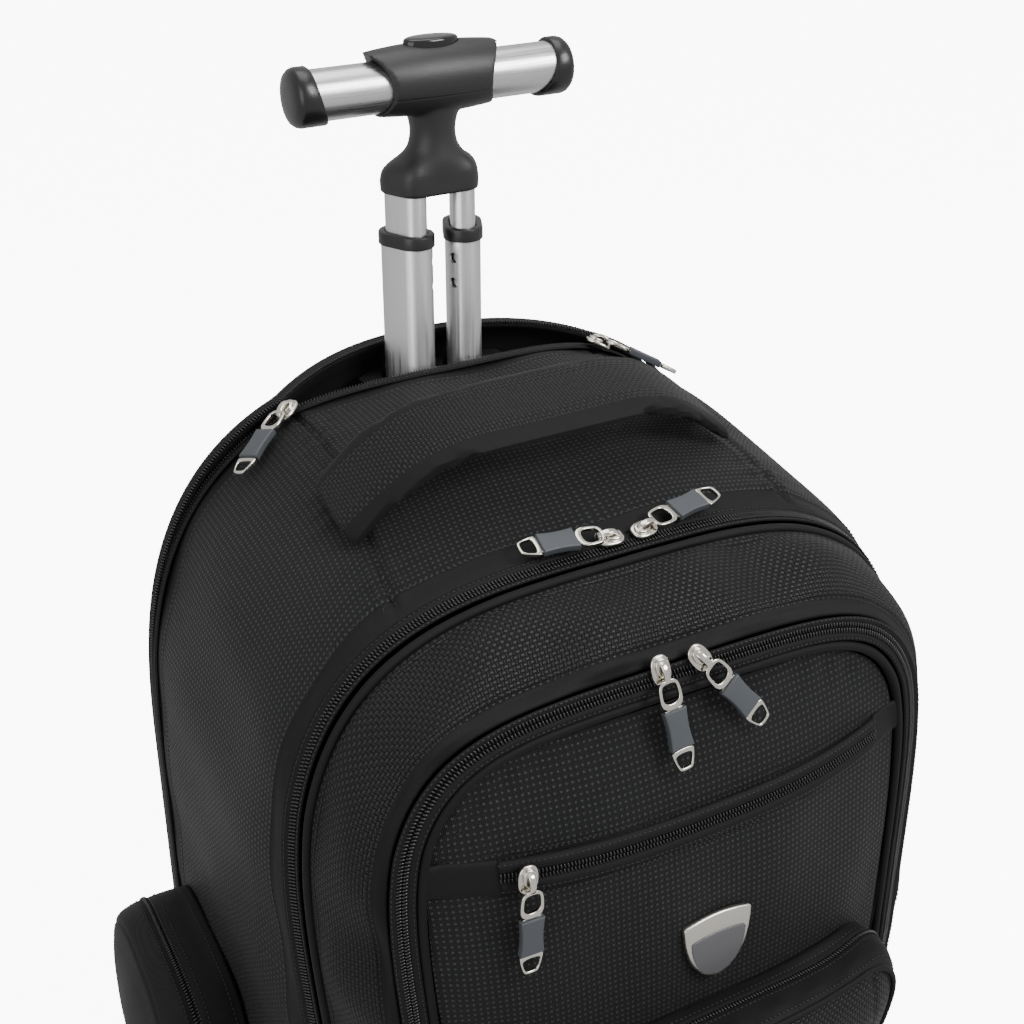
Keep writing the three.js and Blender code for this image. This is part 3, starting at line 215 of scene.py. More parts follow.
class HardwareSettings(bpy.types.PropertyGroup):
    nickel: bpy.props.FloatVectorProperty(
        name="Nickel", description="Colour of the zip pulls and the badge", subtype="COLOR",
        size=3, min=0, max=1, default=(0.68, 0.65, 0.59))
    rubber: bpy.props.FloatVectorProperty(
        name="Pull rubber", description="Colour of the rubber inserts", subtype="COLOR",
        size=3, min=0, max=1, default=(0.050, 0.056, 0.063))
    aluminium: bpy.props.FloatVectorProperty(
        name="Aluminium", description="Colour of the trolley's tubes", subtype="COLOR",
        size=3, min=0, max=1, default=(0.62, 0.62, 0.63))
    plastic: bpy.props.FloatVectorProperty(
        name="Plastic", description="Colour of the moulded parts", subtype="COLOR",
        size=3, min=0, max=1, default=(0.008, 0.008, 0.0082))


class StageSettings(bpy.types.PropertyGroup):
    eye: bpy.props.FloatVectorProperty(
        name="Camera", description="Place of the camera", size=3, subtype="TRANSLATION",
        unit="LENGTH", default=(-0.36893, -0.60902, 0.7741))
    target: bpy.props.FloatVectorProperty(
        name="Target", description="Place that the camera looks at", size=3, subtype="TRANSLATION",
        unit="LENGTH", default=(-0.00859, 0.02268, 0.39347))
    lens: bpy.props.FloatProperty(name="Lens", description="Focal length in millimetres", default=58.05)
    key_power: bpy.props.FloatProperty(
        name="Key light", description="Power of the key light", default=38, unit="POWER")
    fill_power: bpy.props.FloatProperty(
        name="Fill light", description="Power of the fill light", default=10, unit="POWER")
    floor_glow: bpy.props.FloatProperty(
        name="Floor glow", description="How brightly the lit paper shows", default=9.0)
    world: bpy.props.FloatProperty(
        name="Surroundings", description="Strength of the white surroundings", default=0.75)


# Small numeric helpers

def clamp(value, low, high):
    return np.minimum(high, np.maximum(low, value))


def mix(a, b, t):
    return a + (b - a) * t


def smooth(t):
    t = clamp(t, 0, 1)
    return t * t * (3 - 2 * t)


def signed_power(value, power):
    return np.sign(value) * np.abs(value) ** power


def column(table, key):
    return np.array([row[key] for row in table], dtype=float)


def curve_through(places, values, at):
    """A smooth curve through a table's values, flat beyond its ends."""
    slopes = np.gradient(values, places)
    at = clamp(at, places[0], places[-1])
    i = clamp(np.searchsorted(places, at, side="right") - 1, 0, len(places) - 2)
    width = places[i + 1] - places[i]
    t = (at - places[i]) / width
    h00 = (1 + 2 * t) * (1 - t) ** 2
    h10 = t * (1 - t) ** 2
    h01 = t * t * (3 - 2 * t)
    h11 = t * t * (t - 1)
    return h00 * values[i] + h10 * width * slopes[i] + h01 * values[i + 1] + h11 * width * slopes[i + 1]


def undulation(u, v, wavelength, seed, count=7):
    """Soft irregular waves of height about one over a surface measured in millimetres."""
    rng = np.random.default_rng(seed)
    total = 0.0
    for _ in range(count):
        turn = rng.uniform(0, math.pi)
        length = wavelength * rng.uniform(0.6, 1.7)
        phase = rng.uniform(0, 2 * math.pi)
        total = total + np.sin(2 * math.pi * (u * math.cos(turn) + v * math.sin(turn)) / length + phase)
    return total / math.sqrt(count)


def groove(distance, width):
    """One at a seam's middle and nought away from it."""
    return np.exp(-(distance / width) ** 2)


def unit(vectors):
    length = np.linalg.norm(vectors, axis=-1, keepdims=True)
    return vectors / np.maximum(length, 1e-9)


# The bag's form

def leaned(points):
    """The filled bag leans to one side towards its front, and its front narrows towards the floor."""
    x, y, z = points[..., 0], points[..., 1], points[..., 2]
    low = clamp((TAPER_TOP - z) / TAPER_TOP, 0, 1)
    fore = clamp((TAPER_BACK_Y - y) / (TAPER_BACK_Y - TAPER_FRONT_Y), 0, 1)
    moved = x * (1 - FRONT_TAPER * low * fore) + SIDE_LEAN * np.maximum(0, REAR_RIM_Y - y)
    return np.stack([moved, y, z], -1)


def arch(outline, inset, q):
    """The bag's outline seen from the front. q runs 0-1 up a corner, to 2 up a side, to 3 over the crown,
    to 5 down the other side and to 6 along the floor."""
    spring = outline.top * SPRING_SHARE
    half = outline.half - inset
    rise = outline.top - inset - spring
    low = outline.floor + inset
    corner = outline.corner - inset
    side = np.where(q > 2.5, -1.0, 1.0)
    near = np.where(q > 2.5, 5 - q, q)
    turn = -math.pi / 2 + math.pi / 2 * clamp(near, 0, 1)
    crown = math.pi * clamp(q - 2, 0, 1)
    power = 2 / outline.shoulder
    crown_x = half * signed_power(np.cos(crown), power)
    crown_z = spring + rise * np.abs(np.sin(crown)) ** power
    corner_x = side * (half - corner + corner * np.cos(turn))
    corner_z = low + corner + corner * np.sin(turn)
    on_side = (near > 1) & (near <= 2)
    on_crown = (q > 2) & (q < 3)
    x = np.where(on_crown, crown_x, np.where(on_side, side * half, corner_x))
    z = np.where(on_crown, crown_z, np.where(on_side, mix(low + corner, spring, near - 1), corner_z))
    on_floor = q > 5
    x = np.where(on_floor, mix(-(half - corner), half - corner, q - 5), x)
    z = np.where(on_floor, low, z)
    return x, z


def even_q(count, low=0.0, high=6.0, closed=True):
    """Values of q at even distances along the bag's outline."""
    t = np.linspace(0, 1, 4001)
    slow = np.where(t < 0.5, 0.5 * (2 * t) ** 1.6, 1 - 0.5 * (2 - 2 * t) ** 1.6)
    dense = np.unique(np.concatenate([np.linspace(0, 2, 801), 2 + slow, np.linspace(3, 6, 1201)]))
    dense = dense[(dense >= low) & (dense <= high)]
    x, z = arch(FRONT, 0, dense)
    length = np.concatenate([[0], np.cumsum(np.hypot(np.diff(x), np.diff(z)))])
    return np.interp(np.linspace(0, length[-1], count + 1 if closed else count), length, dense)[:count]


def forward(slope, top, z):
    return slope * (top - clamp(z, LEAN_FOOT, top))


def main_section(depth):
    places = column(MAIN_SECTIONS, "depth")
    keys = ("half", "top", "shoulder")
    at = {key: curve_through(places, column(MAIN_SECTIONS, key), depth) for key in keys}
    return Outline(BODY_HALF * at["half"], BODY_TOP * at["top"], at["shoulder"], BODY_FLOOR, FLOOR_CORNER)


def main_point(q, depth, inset=0.0):
    outline = main_section(depth)
    x, z = arch(outline, inset, q)
    y = REAR_RIM_Y - MAIN_DEPTH * (1 - depth) - forward(FRONT_LEAN * (1 - depth), outline.top, z)
    return np.stack([x, y, z], -1)


def depth_at(y, z):
    """The share of the body's depth at a place on its side."""
    depth = clamp((y - REAR_RIM_Y) / MAIN_DEPTH + 1, 0, 1)
    for _ in range(3):
        top = main_section(depth).top
        upright = y + forward(FRONT_LEAN * (1 - depth), top, z)
        depth = clamp((upright - REAR_RIM_Y) / MAIN_DEPTH + 1, 0, 1)
    return depth


def body_height(x, y):
    """The height of the body's outside at a place in plan."""
    z = np.full(np.broadcast(x, y).shape, BODY_TOP)
    for _ in range(6):
        outline = main_section(depth_at(y, z))
        spring = outline.top * SPRING_SHARE
        reach = 1 - clamp(np.abs(x) / outline.half, 0, 1) ** outline.shoulder
        z = spring + (outline.top - spring) * reach ** (1 / outline.shoulder)
    return z


def slit_share(x):
    return np.maximum(0, 1 - (x / SLIT_HALF) ** 2)


def main_plane(z, push=0.0):
    return MAIN_PIPING_Y - push - forward(FRONT_LEAN, FRONT.top, z)


def pocket_plane(z):
    return POCKET_Y - forward(POCKET_LEAN, POCKET.top, z)


def pocket_face(x, z):
    middle = (POCKET.top + POCKET.floor) / 2
    reach = (POCKET.top - POCKET.floor) / 2
    norm = np.abs(x / POCKET.half) ** 3 + np.abs((z - middle) / reach) ** 3
    return pocket_plane(z) - POCKET_CROWN * np.maximum(0, 1 - norm)


def bow(x):
    return np.maximum(0, 1 - (x / BACK_BOW_HALF) ** 2) ** 2


def back_y(x):
    return BACK_EDGE_Y + BACK_BOW * bow(x)


def span(outline, inset, x):
    """The height of an outline's floor and crown at a place across the bag."""
    spring = outline.top * SPRING_SHARE
    reach = np.maximum(0, 1 - (np.abs(x) / (outline.half - inset)) ** outline.shoulder)
    corner_in = np.maximum(0, np.abs(x) - (outline.half - outline.corner)) / (outline.corner - inset)
    low = outline.floor + inset
    low = low + (outline.corner - inset) * (1 - np.sqrt(np.maximum(0, 1 - corner_in ** 2)))
    return low, spring + (outline.top - inset - spring) * reach ** (1 / outline.shoulder)


def pad_surface(x, z):
    middle = (PAD_TOP + PAD_FLOOR) / 2
    reach = (PAD_TOP - PAD_FLOOR) / 2
    norm = np.abs(x / PAD_HALF) ** 4 + np.abs((z - middle) / reach) ** 4
    return back_y(x) + 3.9 + (PAD_THICKNESS - 3) * np.maximum(0, 1 - norm)


def pad_under(x, z, width):
    shares = (-0.5, -0.25, 0, 0.25, 0.5)
    return np.max([pad_surface(x + share * width, z) for share in shares], axis=0)


# Grids of points and the meshes made from them

def grid_normals(points, wrap):
    if wrap:
        along = np.roll(points, -1, axis=1) - np.roll(points, 1, axis=1)
    else:
        along = np.gradient(points, axis=1)
    return unit(np.cross(along, np.gradient(points, axis=0)))


class Surface:
    """A grid of points over a piece. Its columns may close on themselves."""

    def __init__(self, points, wrap=False, outward=1):
        self.wrap = wrap
        self.outward = outward
        self.points = points
        self.normals = grid_normals(points, wrap) * outward

    def push(self, height):
        self.points = self.points + self.normals * height[..., None]
        self.normals = grid_normals(self.points, self.wrap) * self.outward

    def at(self, row, place, lift=0.0):
        """Points and outward directions at fractional rows and columns."""
        rows, columns = self.points.shape[:2]
        row = clamp(np.asarray(row, dtype=float), 0, rows - 1.001)
        place = np.asarray(place, dtype=float)
        place = place % columns if self.wrap else clamp(place, 0, columns - 1.001)
        row, place = np.broadcast_arrays(row, place)
        r0, c0 = row.astype(int), place.astype(int)
        r1, c1 = r0 + 1, (c0 + 1) % columns
        fr, fc = (row - r0)[..., None], (place - c0)[..., None]
        found = []
        for source in (self.points, self.normals):
            low = mix(source[r0, c0], source[r0, c1], fc)
            high = mix(source[r1, c0], source[r1, c1], fc)
            found.append(mix(low, high, fr))
        out = unit(found[1])
        return found[0] + out * lift, out


def grid_faces(rows, columns, wrap_columns=False, wrap_rows=False):
    r = np.arange(rows if wrap_rows else rows - 1)
    c = np.arange(columns if wrap_columns else columns - 1)
    r, c = np.meshgrid(r, c, indexing="ij")
    r1, c1 = (r + 1) % rows, (c + 1) % columns
    faces = np.stack([r * columns + c, r * columns + c1, r1 * columns + c1, r1 * columns + c], -1)
    return faces.reshape(-1, 4)


def arc_uv(points, wrap):
    """Distances along the columns and the rows of a grid, in millimetres."""
    middle = points[len(points) // 2]
    u = np.concatenate([[0], np.cumsum(np.linalg.norm(np.diff(middle, axis=0), axis=1))])
    steps = np.linalg.norm(np.diff(points, axis=0), axis=2).mean(axis=1)
    v = np.concatenate([[0], np.cumsum(steps)])
    if wrap:
        u = np.append(u, u[-1] + np.linalg.norm(middle[0] - middle[-1]))
    return u, v


def build(name, points, faces, corners_uv=None, materials=(), picks=None, flat=False, recalculate=True):
    """A mesh object from points in source millimetres, placed in the frame in metres."""
    mesh = bpy.data.meshes.new(name)
    placed = (np.asarray(points, dtype=float).reshape(-1, 3) + OFFSET) * 0.001
    mesh.from_pydata(placed.tolist(), [], [list(face) for face in faces])
    for material in materials:
        mesh.materials.append(material)
    if corners_uv is not None:
        layer = mesh.uv_layers.new(name="UVMap")
        layer.data.foreach_set("uv", (np.asarray(corners_uv, dtype=float) * 0.001).ravel())
    if picks is not None:
        mesh.polygons.foreach_set("material_index", np.asarray(picks, dtype=int).ravel())
    mesh.polygons.foreach_set("use_smooth", np.full(len(mesh.polygons), not flat))
    obj = bpy.data.objects.new(name, mesh)
    bpy.context.scene.collection.objects.link(obj)
    if recalculate:
        face_out(obj)
    return obj


def face_out(obj):
    work = bmesh.new()
    work.from_mesh(obj.data)
    bmesh.ops.recalc_face_normals(work, faces=work.faces)
    work.to_mesh(obj.data)
    work.free()


def grid_body(name, points, materials, wrap_columns=False, wrap_rows=False, capped=False, uv=None, pick=None):
    """A body from a grid. uv gives millimetres at each point, and pick a material for each cell's place."""
    rows, columns = points.shape[:2]
    faces = grid_faces(rows, columns, wrap_columns, wrap_rows)
    if uv is None:
        u, v = arc_uv(points, wrap_columns)
        r = faces[:, 0] // columns
        c = faces[:, 0] % columns
        v = np.append(v, v[-1] + 1)
        u = np.append(u, u[-1] + 1)
        corners = np.stack([
            np.stack([u[c], v[r]], -1), np.stack([u[c + 1], v[r]], -1),
            np.stack([u[c + 1], v[r + 1]], -1), np.stack([u[c], v[r + 1]], -1),
        ], 1)
    else:
        corners = uv.reshape(-1, 2)[faces]
    picks = None
    if pick is not None:
        centres = points.reshape(-1, 3)[faces].mean(axis=1)
        picks = pick(faces[:, 0] // columns, faces[:, 0] % columns, centres)
    faces = faces.tolist()
    corners = corners.reshape(-1, 2)
    if capped:
        for row in (0, rows - 1):
            ring = list(range(row * columns, (row + 1) * columns))
            faces.append(ring if row else ring[::-1])
            flat = points[row][:, [0, 2]] if row else points[row][::-1][:, [0, 2]]
            corners = np.concatenate([corners, flat])
            if picks is not None:
                picks = np.append(picks, picks[-1] if row else picks[0])
    return build(name, points, faces, corners, materials, picks)


def apply_modifiers(obj):
    """The object with its modifiers worked into a plain mesh."""
    graph = bpy.context.evaluated_depsgraph_get()
    graph.update()
    result = bpy.data.meshes.new_from_object(obj.evaluated_get(graph))
    obj.modifiers.clear()
    obj.data = result
    result.name = obj.name
    return obj


def join_into(target, others):
    """One mesh object from several, in the order given."""
    work = bmesh.new()
    slots = list(target.data.materials)
    work.from_mesh(target.data)
    for other in others:
        start = len(work.faces)
        work.from_mesh(other.data)
        work.faces.ensure_lookup_table()
        for face in work.faces[start:]:
            material = other.data.materials[face.material_index]
            if material not in slots:
                slots.append(material)
            face.material_index = slots.index(material)
    work.to_mesh(target.data)
    work.free()
    target.data.materials.clear()
    for material in slots:
        target.data.materials.append(material)
    for other in others:
        bpy.data.objects.remove(other)
    return target


def crisp(obj, angle=35):
    """Smooth faces with sharp edges where they turn by more than an angle."""
    obj.data.set_sharp_from_angle(angle=math.radians(angle))
    return obj


def swept_band(path, across, width, thickness, profile):
    """A grid for a band along a path. The profile's points are shares of its width and thickness."""
    along = unit(np.gradient(path, axis=0))
    out = unit(np.cross(along, across))
    wide = unit(np.cross(out, along))
    u = profile[:, 0][None, :, None]
    v = profile[:, 1][None, :, None]
    width = np.broadcast_to(width, len(path))[:, None, None]
    thickness = np.broadcast_to(thickness, len(path))[:, None, None]
    return path[:, None, :] + wide[:, None, :] * (u * width) + out[:, None, :] * (v * thickness)


def round_profile(count, power=0.35):
    """A closed rounded band section, one by one."""
    turn = np.linspace(0, 2 * math.pi, count, endpoint=False)
    return np.stack([0.5 * signed_power(np.cos(turn), power), 0.5 * signed_power(np.sin(turn), 0.6)], -1)


def tube_grid(path, radius, sides, closed=False):
    """A grid for a round cord along a path."""
    if closed:
        along = unit(np.roll(path, -1, axis=0) - np.roll(path, 1, axis=0))
    else:
        along = unit(np.gradient(path, axis=0))
    out = unit(np.cross(along, [0.0, 1.0, 0.0]))
    other = unit(np.cross(out, along))
    turn = np.linspace(0, 2 * math.pi, sides, endpoint=False)[None, :, None]
    return path[:, None, :] + radius * (out[:, None, :] * np.cos(turn) + other[:, None, :] * np.sin(turn))


# Repeats along a path

def link(tree, source, target):
    tree.links.new(source, target)


def add(tree, kind, inputs=None, **settings):
    """One node, with its settings, and its inputs as values or as links."""
    node = tree.nodes.new(kind)
    for key, value in settings.items():
        setattr(node, key, value)
    for key, value in (inputs or {}).items():
        if isinstance(value, bpy.types.NodeSocket):
            tree.links.new(value, node.inputs[key])
        else:
            node.inputs[key].default_value = value
    return node


REPEAT_INPUTS = [
    ("Spacing", "NodeSocketFloat", 0.003),
    ("Length", "NodeSocketFloat", 0.002),
    ("Width", "NodeSocketFloat", 0.0006),
    ("Height", "NodeSocketFloat", 0.0005),
    ("Turn", "NodeSocketFloat", 0.0),
    ("Jitter", "NodeSocketFloat", 0.05),
    ("Seed", "NodeSocketInt", 3),
    ("Material", "NodeSocketMaterial", None),
]


def repeat_tree():
    """Small rounded bars at even distances along the edges of a mesh, standing on its 'out' directions."""
    tree = bpy.data.node_groups.get("repeat_along_path")
    if tree:
        return tree
    tree = bpy.data.node_groups.new("repeat_along_path", "GeometryNodeTree")
    tree.interface.new_socket("Geometry", in_out="INPUT", socket_type="NodeSocketGeometry")
    for name, kind, default in REPEAT_INPUTS:
        socket = tree.interface.new_socket(name, in_out="INPUT", socket_type=kind)
        if default is not None:
            socket.default_value = default
    tree.interface.new_socket("Geometry", in_out="OUTPUT", socket_type="NodeSocketGeometry")
    given = add(tree, "NodeGroupInput").outputs
    curve = add(tree, "GeometryNodeMeshToCurve", {"Mesh": given["Geometry"]})
    even = add(tree, "GeometryNodeResampleCurve",
               {"Curve": curve.outputs["Curve"], "Length": given["Spacing"]},
               mode="LENGTH")
    ball = add(tree, "GeometryNodeMeshUVSphere", {"Segments": 6, "Rings": 4, "Radius": 0.5})
    size = add(tree, "ShaderNodeCombineXYZ", {
        "X": given["Length"], "Y": given["Width"], "Z": given["Height"],
    })
    turn = add(tree, "ShaderNodeCombineXYZ", {"Z": given["Turn"]})
    bar = add(tree, "GeometryNodeTransform", {
        "Geometry": ball.outputs["Mesh"], "Scale": size.outputs[0], "Rotation": turn.outputs[0],
    })
    soft = add(tree, "GeometryNodeSetShadeSmooth", {"Geometry": bar.outputs["Geometry"]})
    tangent = add(tree, "GeometryNodeInputTangent")
    out = add(tree, "GeometryNodeInputNamedAttribute", {"Name": "out"}, data_type="FLOAT_VECTOR")
    first = add(tree, "FunctionNodeAlignRotationToVector", {"Vector": tangent.outputs[0]}, axis="X")
    second = add(tree, "FunctionNodeAlignRotationToVector", {
        "Rotation": first.outputs[0], "Vector": out.outputs["Attribute"],
    }, axis="Z", pivot_axis="X")
    least = add(tree, "ShaderNodeMath", {0: 1.0, 1: given["Jitter"]}, operation="SUBTRACT")
    most = add(tree, "ShaderNodeMath", {0: 1.0, 1: given["Jitter"]}, operation="ADD")
    scale = add(tree, "FunctionNodeRandomValue", data_type="FLOAT")
    link(tree, least.outputs[0], scale.inputs[2])
    link(tree, most.outputs[0], scale.inputs[3])
    link(tree, given["Seed"], scale.inputs["Seed"])
    placed = add(tree, "GeometryNodeInstanceOnPoints", {
        "Points": even.outputs["Curve"], "Instance": soft.outputs["Geometry"],
        "Rotation": second.outputs[0], "Scale": scale.outputs[1],
    })
    real = add(tree, "GeometryNodeRealizeInstances", {"Geometry": placed.outputs["Instances"]})
    painted = add(tree, "GeometryNodeSetMaterial", {
        "Geometry": real.outputs["Geometry"], "Material": given["Material"],
    })
    result = add(tree, "NodeGroupOutput")
    link(tree, painted.outputs["Geometry"], result.inputs["Geometry"])
    return tree


def repeat(name, chains, material, closed=False, **values):
    """A plain mesh of small bars along chains of (points, out directions) in source millimetres."""
    points, outs, edges, start = [], [], [], 0
    for chain, out in chains:
        count = len(chain)
        points.append(chain)
        outs.append(out)
        edges += [(start + i, start + i + 1) for i in range(count - 1)]
        if closed:
            edges.append((start + count - 1, start))
        start += count
    placed = (np.concatenate(points) + OFFSET) * 0.001
    mesh = bpy.data.meshes.new(name)
    mesh.from_pydata(placed.tolist(), edges, [])
    away = mesh.attributes.new("out", "FLOAT_VECTOR", "POINT")
    away.data.foreach_set("vector", np.concatenate(outs).ravel())
    obj = bpy.data.objects.new(name, mesh)
    bpy.context.scene.collection.objects.link(obj)
    modifier = obj.modifiers.new("repeat", "NODES")
    modifier.node_group = repeat_tree()
    sockets = {item.name: item.identifier for item in modifier.node_group.interface.items_tree
               if item.in_out == "INPUT"}
    for key, value in values.items():
        modifier[sockets[key.capitalize()]] = value
    modifier[sockets["Material"]] = material
    return apply_modifiers(obj)


def stitches(name, chains, closed=False, pitch=1.0):
    cloth = bpy.context.scene.backpack_cloth
    spacing = cloth.stitch_pitch * pitch
    return repeat(name, chains, materials("thread"), closed, spacing=spacing, length=spacing * 0.74,
                  width=0.0007, height=0.0005, jitter=0.06)


def teeth(name, middles, across, outs, closed=False, half=1.35):
    """The two interlocking coil rows of a zip, on either side of its middle line."""
    zips = bpy.context.scene.backpack_zips
    length = zips.tooth_length
    chains = []
    for side in (-1, 1):
        chains.append((middles + across * side * half, outs))
    return repeat(name, chains, materials("coil"), closed, spacing=zips.tooth_pitch, length=0.00105,
                  width=length, height=0.0016, turn=math.radians(12), jitter=0.03)


# Materials. Cloth patterns are laid out in metres on each piece's own UV map.

def maths(tree, operation, *values, **settings):
    return add(tree, "ShaderNodeMath", dict(enumerate(values)), operation=operation, **settings).outputs[0]


def ramp(tree, value, low, high, start=0.0, end=1.0):
    """A value mapped from one range to another and held inside it."""
    return add(tree, "ShaderNodeMapRange", {
        "Value": value, "From Min": low, "From Max": high, "To Min": start, "To Max": end,
    }, interpolation_type="SMOOTHSTEP").outputs[0]


def blend_colours(tree, factor, first, second):
    node = add(tree, "ShaderNodeMix", data_type="RGBA")
    for socket, value in ((node.inputs[0], factor), (node.inputs[6], first), (node.inputs[7], second)):
        if isinstance(value, bpy.types.NodeSocket):
            tree.links.new(value, socket)
        else:
            socket.default_value = value
    return node.outputs[2]


def rgba(colour, gain=1.0):
    return tuple(min(1.0, channel * gain) for channel in colour) + (1.0,)


# Sets these materials apart from the CAD's, which have the same first names
FINISH = "_finish"


def new_material(name):
    material = bpy.data.materials.new(name + FINISH)
    material.use_nodes = True
    tree = material.node_tree
    tree.nodes.clear()
    shader = add(tree, "ShaderNodeBsdfPrincipled")
    output = add(tree, "ShaderNodeOutputMaterial")
    tree.links.new(shader.outputs[0], output.inputs[0])
    return material, tree, shader


def cloth_axes(tree):
    """The two directions of a piece's UV map, in metres."""
    place = add(tree, "ShaderNodeUVMap", uv_map="UVMap")
    split = add(tree, "ShaderNodeSeparateXYZ", {0: place.outputs[0]})
    return place.outputs[0], split.outputs[0], split.outputs[1]


def thread_wave(tree, place, pitch, shift=0.0):
    """One at the middle of each thread and nought between threads."""
    turned = maths(tree, "MULTIPLY_ADD", place, math.pi / pitch, shift)
    return maths(tree, "ABSOLUTE", maths(tree, "SINE", turned))


def finish_cloth(tree, shader, height, colour, roughness, depth, sheen=0.02):
    bump = add(tree, "ShaderNodeBump", {"Strength": 1.0, "Distance": depth, "Height": height})
    shader.inputs["Sheen Weight"].default_value = sheen
    shader.inputs["Sheen Roughness"].default_value = 0.45
    shader.inputs["Specular IOR Level"].default_value = 0.22
    tree.links.new(bump.outputs[0], shader.inputs["Normal"])
    tree.links.new(colour, shader.inputs["Base Color"])
    if isinstance(roughness, bpy.types.NodeSocket):
        tree.links.new(roughness, shader.inputs["Roughness"])
    else:
        shader.inputs["Roughness"].default_value = roughness


def ballistic_nylon():
    """Coarse basket weave: shiny threads that pass over and under one another."""
    cloth = bpy.context.scene.backpack_cloth
    material, tree, shader = new_material("ballistic_nylon")
    place, u, v = cloth_axes(tree)
    pitch = cloth.weave_pitch
    warp = thread_wave(tree, u, pitch)
    weft = thread_wave(tree, v, pitch)
    over = maths(tree, "MULTIPLY", maths(tree, "SINE", maths(tree, "MULTIPLY", u, math.pi / pitch)),
                 maths(tree, "SINE", maths(tree, "MULTIPLY", v, math.pi / pitch)))
    side = ramp(tree, over, -0.25, 0.25)
    height = add(tree, "ShaderNodeMix", data_type="FLOAT")
    tree.links.new(side, height.inputs[0])
    tree.links.new(warp, height.inputs[2])
    tree.links.new(weft, height.inputs[3])
    raised = height.outputs[0]
    noise = add(tree, "ShaderNodeTexNoise", {"Vector": place, "Scale": 400.0, "Detail": 3.0}).outputs[0]
    uneven = maths(tree, "MULTIPLY", raised, maths(tree, "MULTIPLY_ADD", noise, 0.5, 0.75))
    # Painted highlight on the raised thread tops and floating threads, and painted shade in the hollows
    # between threads; the noise adds random tone
    light = maths(tree, "MULTIPLY", ramp(tree, uneven, 0.3, 1.0), ramp(tree, over, -0.3, 0.6, 0.12, 1.0))
    colour = blend_colours(tree, light, rgba(cloth.ballistic, 0.3), rgba(cloth.ballistic, 4.2))
    rough = ramp(tree, uneven, 0.2, 1.0, 0.75, 0.42)
    finish_cloth(tree, shader, uneven, colour, rough, pitch * 0.28)
    return material


def dobby_nylon():
    """Fine plain weave with rows of small raised dots, painted light as a highlight."""
    cloth = bpy.context.scene.backpack_cloth
    material, tree, shader = new_material("dobby_nylon")
    place, u, v = cloth_axes(tree)
    pitch = cloth.dot_pitch
    fine = pitch / 4
    weave = maths(tree, "MULTIPLY", thread_wave(tree, u, fine), thread_wave(tree, v, fine))
    row = maths(tree, "POWER", thread_wave(tree, v, pitch), 3.0)
    along = maths(tree, "POWER", thread_wave(tree, u, pitch), 2.5)
    dot = maths(tree, "MULTIPLY", row, along)
    noise = add(tree, "ShaderNodeTexNoise", {"Vector": place, "Scale": 260.0, "Detail": 4.0}).outputs[0]
    mottled = maths(tree, "MULTIPLY_ADD", noise, 0.9, 0.35)
    # Painted highlight on the fine thread tops and painted shade between them, mixed with random tone from
    # the noise
    painted_thread_light_and_tone = maths(tree, "MULTIPLY", weave, mottled)
    ground = blend_colours(tree, painted_thread_light_and_tone, rgba(cloth.dobby, 0.7), rgba(cloth.dobby, 1.6))
    # Painted highlight: the raised dots are painted nine times lighter than the ground, as a glint
    colour = blend_colours(tree, ramp(tree, maths(tree, "MULTIPLY", dot, mottled), 0.25, 0.8), ground,
                           rgba(cloth.dobby, 9.0))
    height = maths(tree, "MULTIPLY_ADD", dot, 1.3, weave)
    finish_cloth(tree, shader, height, colour, ramp(tree, dot, 0.1, 0.9, 0.62, 0.38), pitch * 0.09)
    return material


def zip_tape():
    """Smooth close-woven tape and binding with a faint rib."""
    cloth = bpy.context.scene.backpack_cloth
    material, tree, shader = new_material("zip_tape")
    place, u, v = cloth_axes(tree)
    rib = maths(tree, "MULTIPLY", thread_wave(tree, u, 0.0006), thread_wave(tree, v, 0.0006))
    noise = add(tree, "ShaderNodeTexNoise", {"Vector": place, "Scale": 900.0, "Detail": 2.0}).outputs[0]
    colour = blend_colours(tree, noise, rgba(cloth.tape, 0.7), rgba(cloth.tape, 1.5))
    finish_cloth(tree, shader, rib, colour, 0.66, 0.00006)
    return material


def fine_nylon():
    """Plain close-woven nylon of the side pockets."""
    cloth = bpy.context.scene.backpack_cloth
    material, tree, shader = new_material("fine_nylon")
    place, u, v = cloth_axes(tree)
    weave = maths(tree, "MULTIPLY", thread_wave(tree, u, 0.0009), thread_wave(tree, v, 0.0009))
    noise = add(tree, "ShaderNodeTexNoise", {"Vector": place, "Scale": 500.0, "Detail": 3.0}).outputs[0]
    # Painted highlight on the thread tops and painted shade between them, mixed with random tone from the
    # noise
    painted_thread_light_and_tone = maths(tree, "MULTIPLY", weave, noise)
    colour = blend_colours(tree, painted_thread_light_and_tone, rgba(cloth.dobby, 0.6), rgba(cloth.dobby, 1.9))
    finish_cloth(tree, shader, weave, colour, 0.6, 0.00012)
    return material


def webbing():
    """Ribbed flat webbing."""
    material, tree, shader = new_material("webbing")
    _, u, v = cloth_axes(tree)
    rib = maths(tree, "MULTIPLY", thread_wave(tree, u, 0.0016), thread_wave(tree, v, 0.0022))
    # Painted highlight on the rib tops and painted shade between the ribs
    colour = blend_colours(tree, rib, (0.004, 0.004, 0.004, 1), (0.03, 0.03, 0.031, 1))
    finish_cloth(tree, shader, rib, colour, 0.7, 0.0003)
    return material


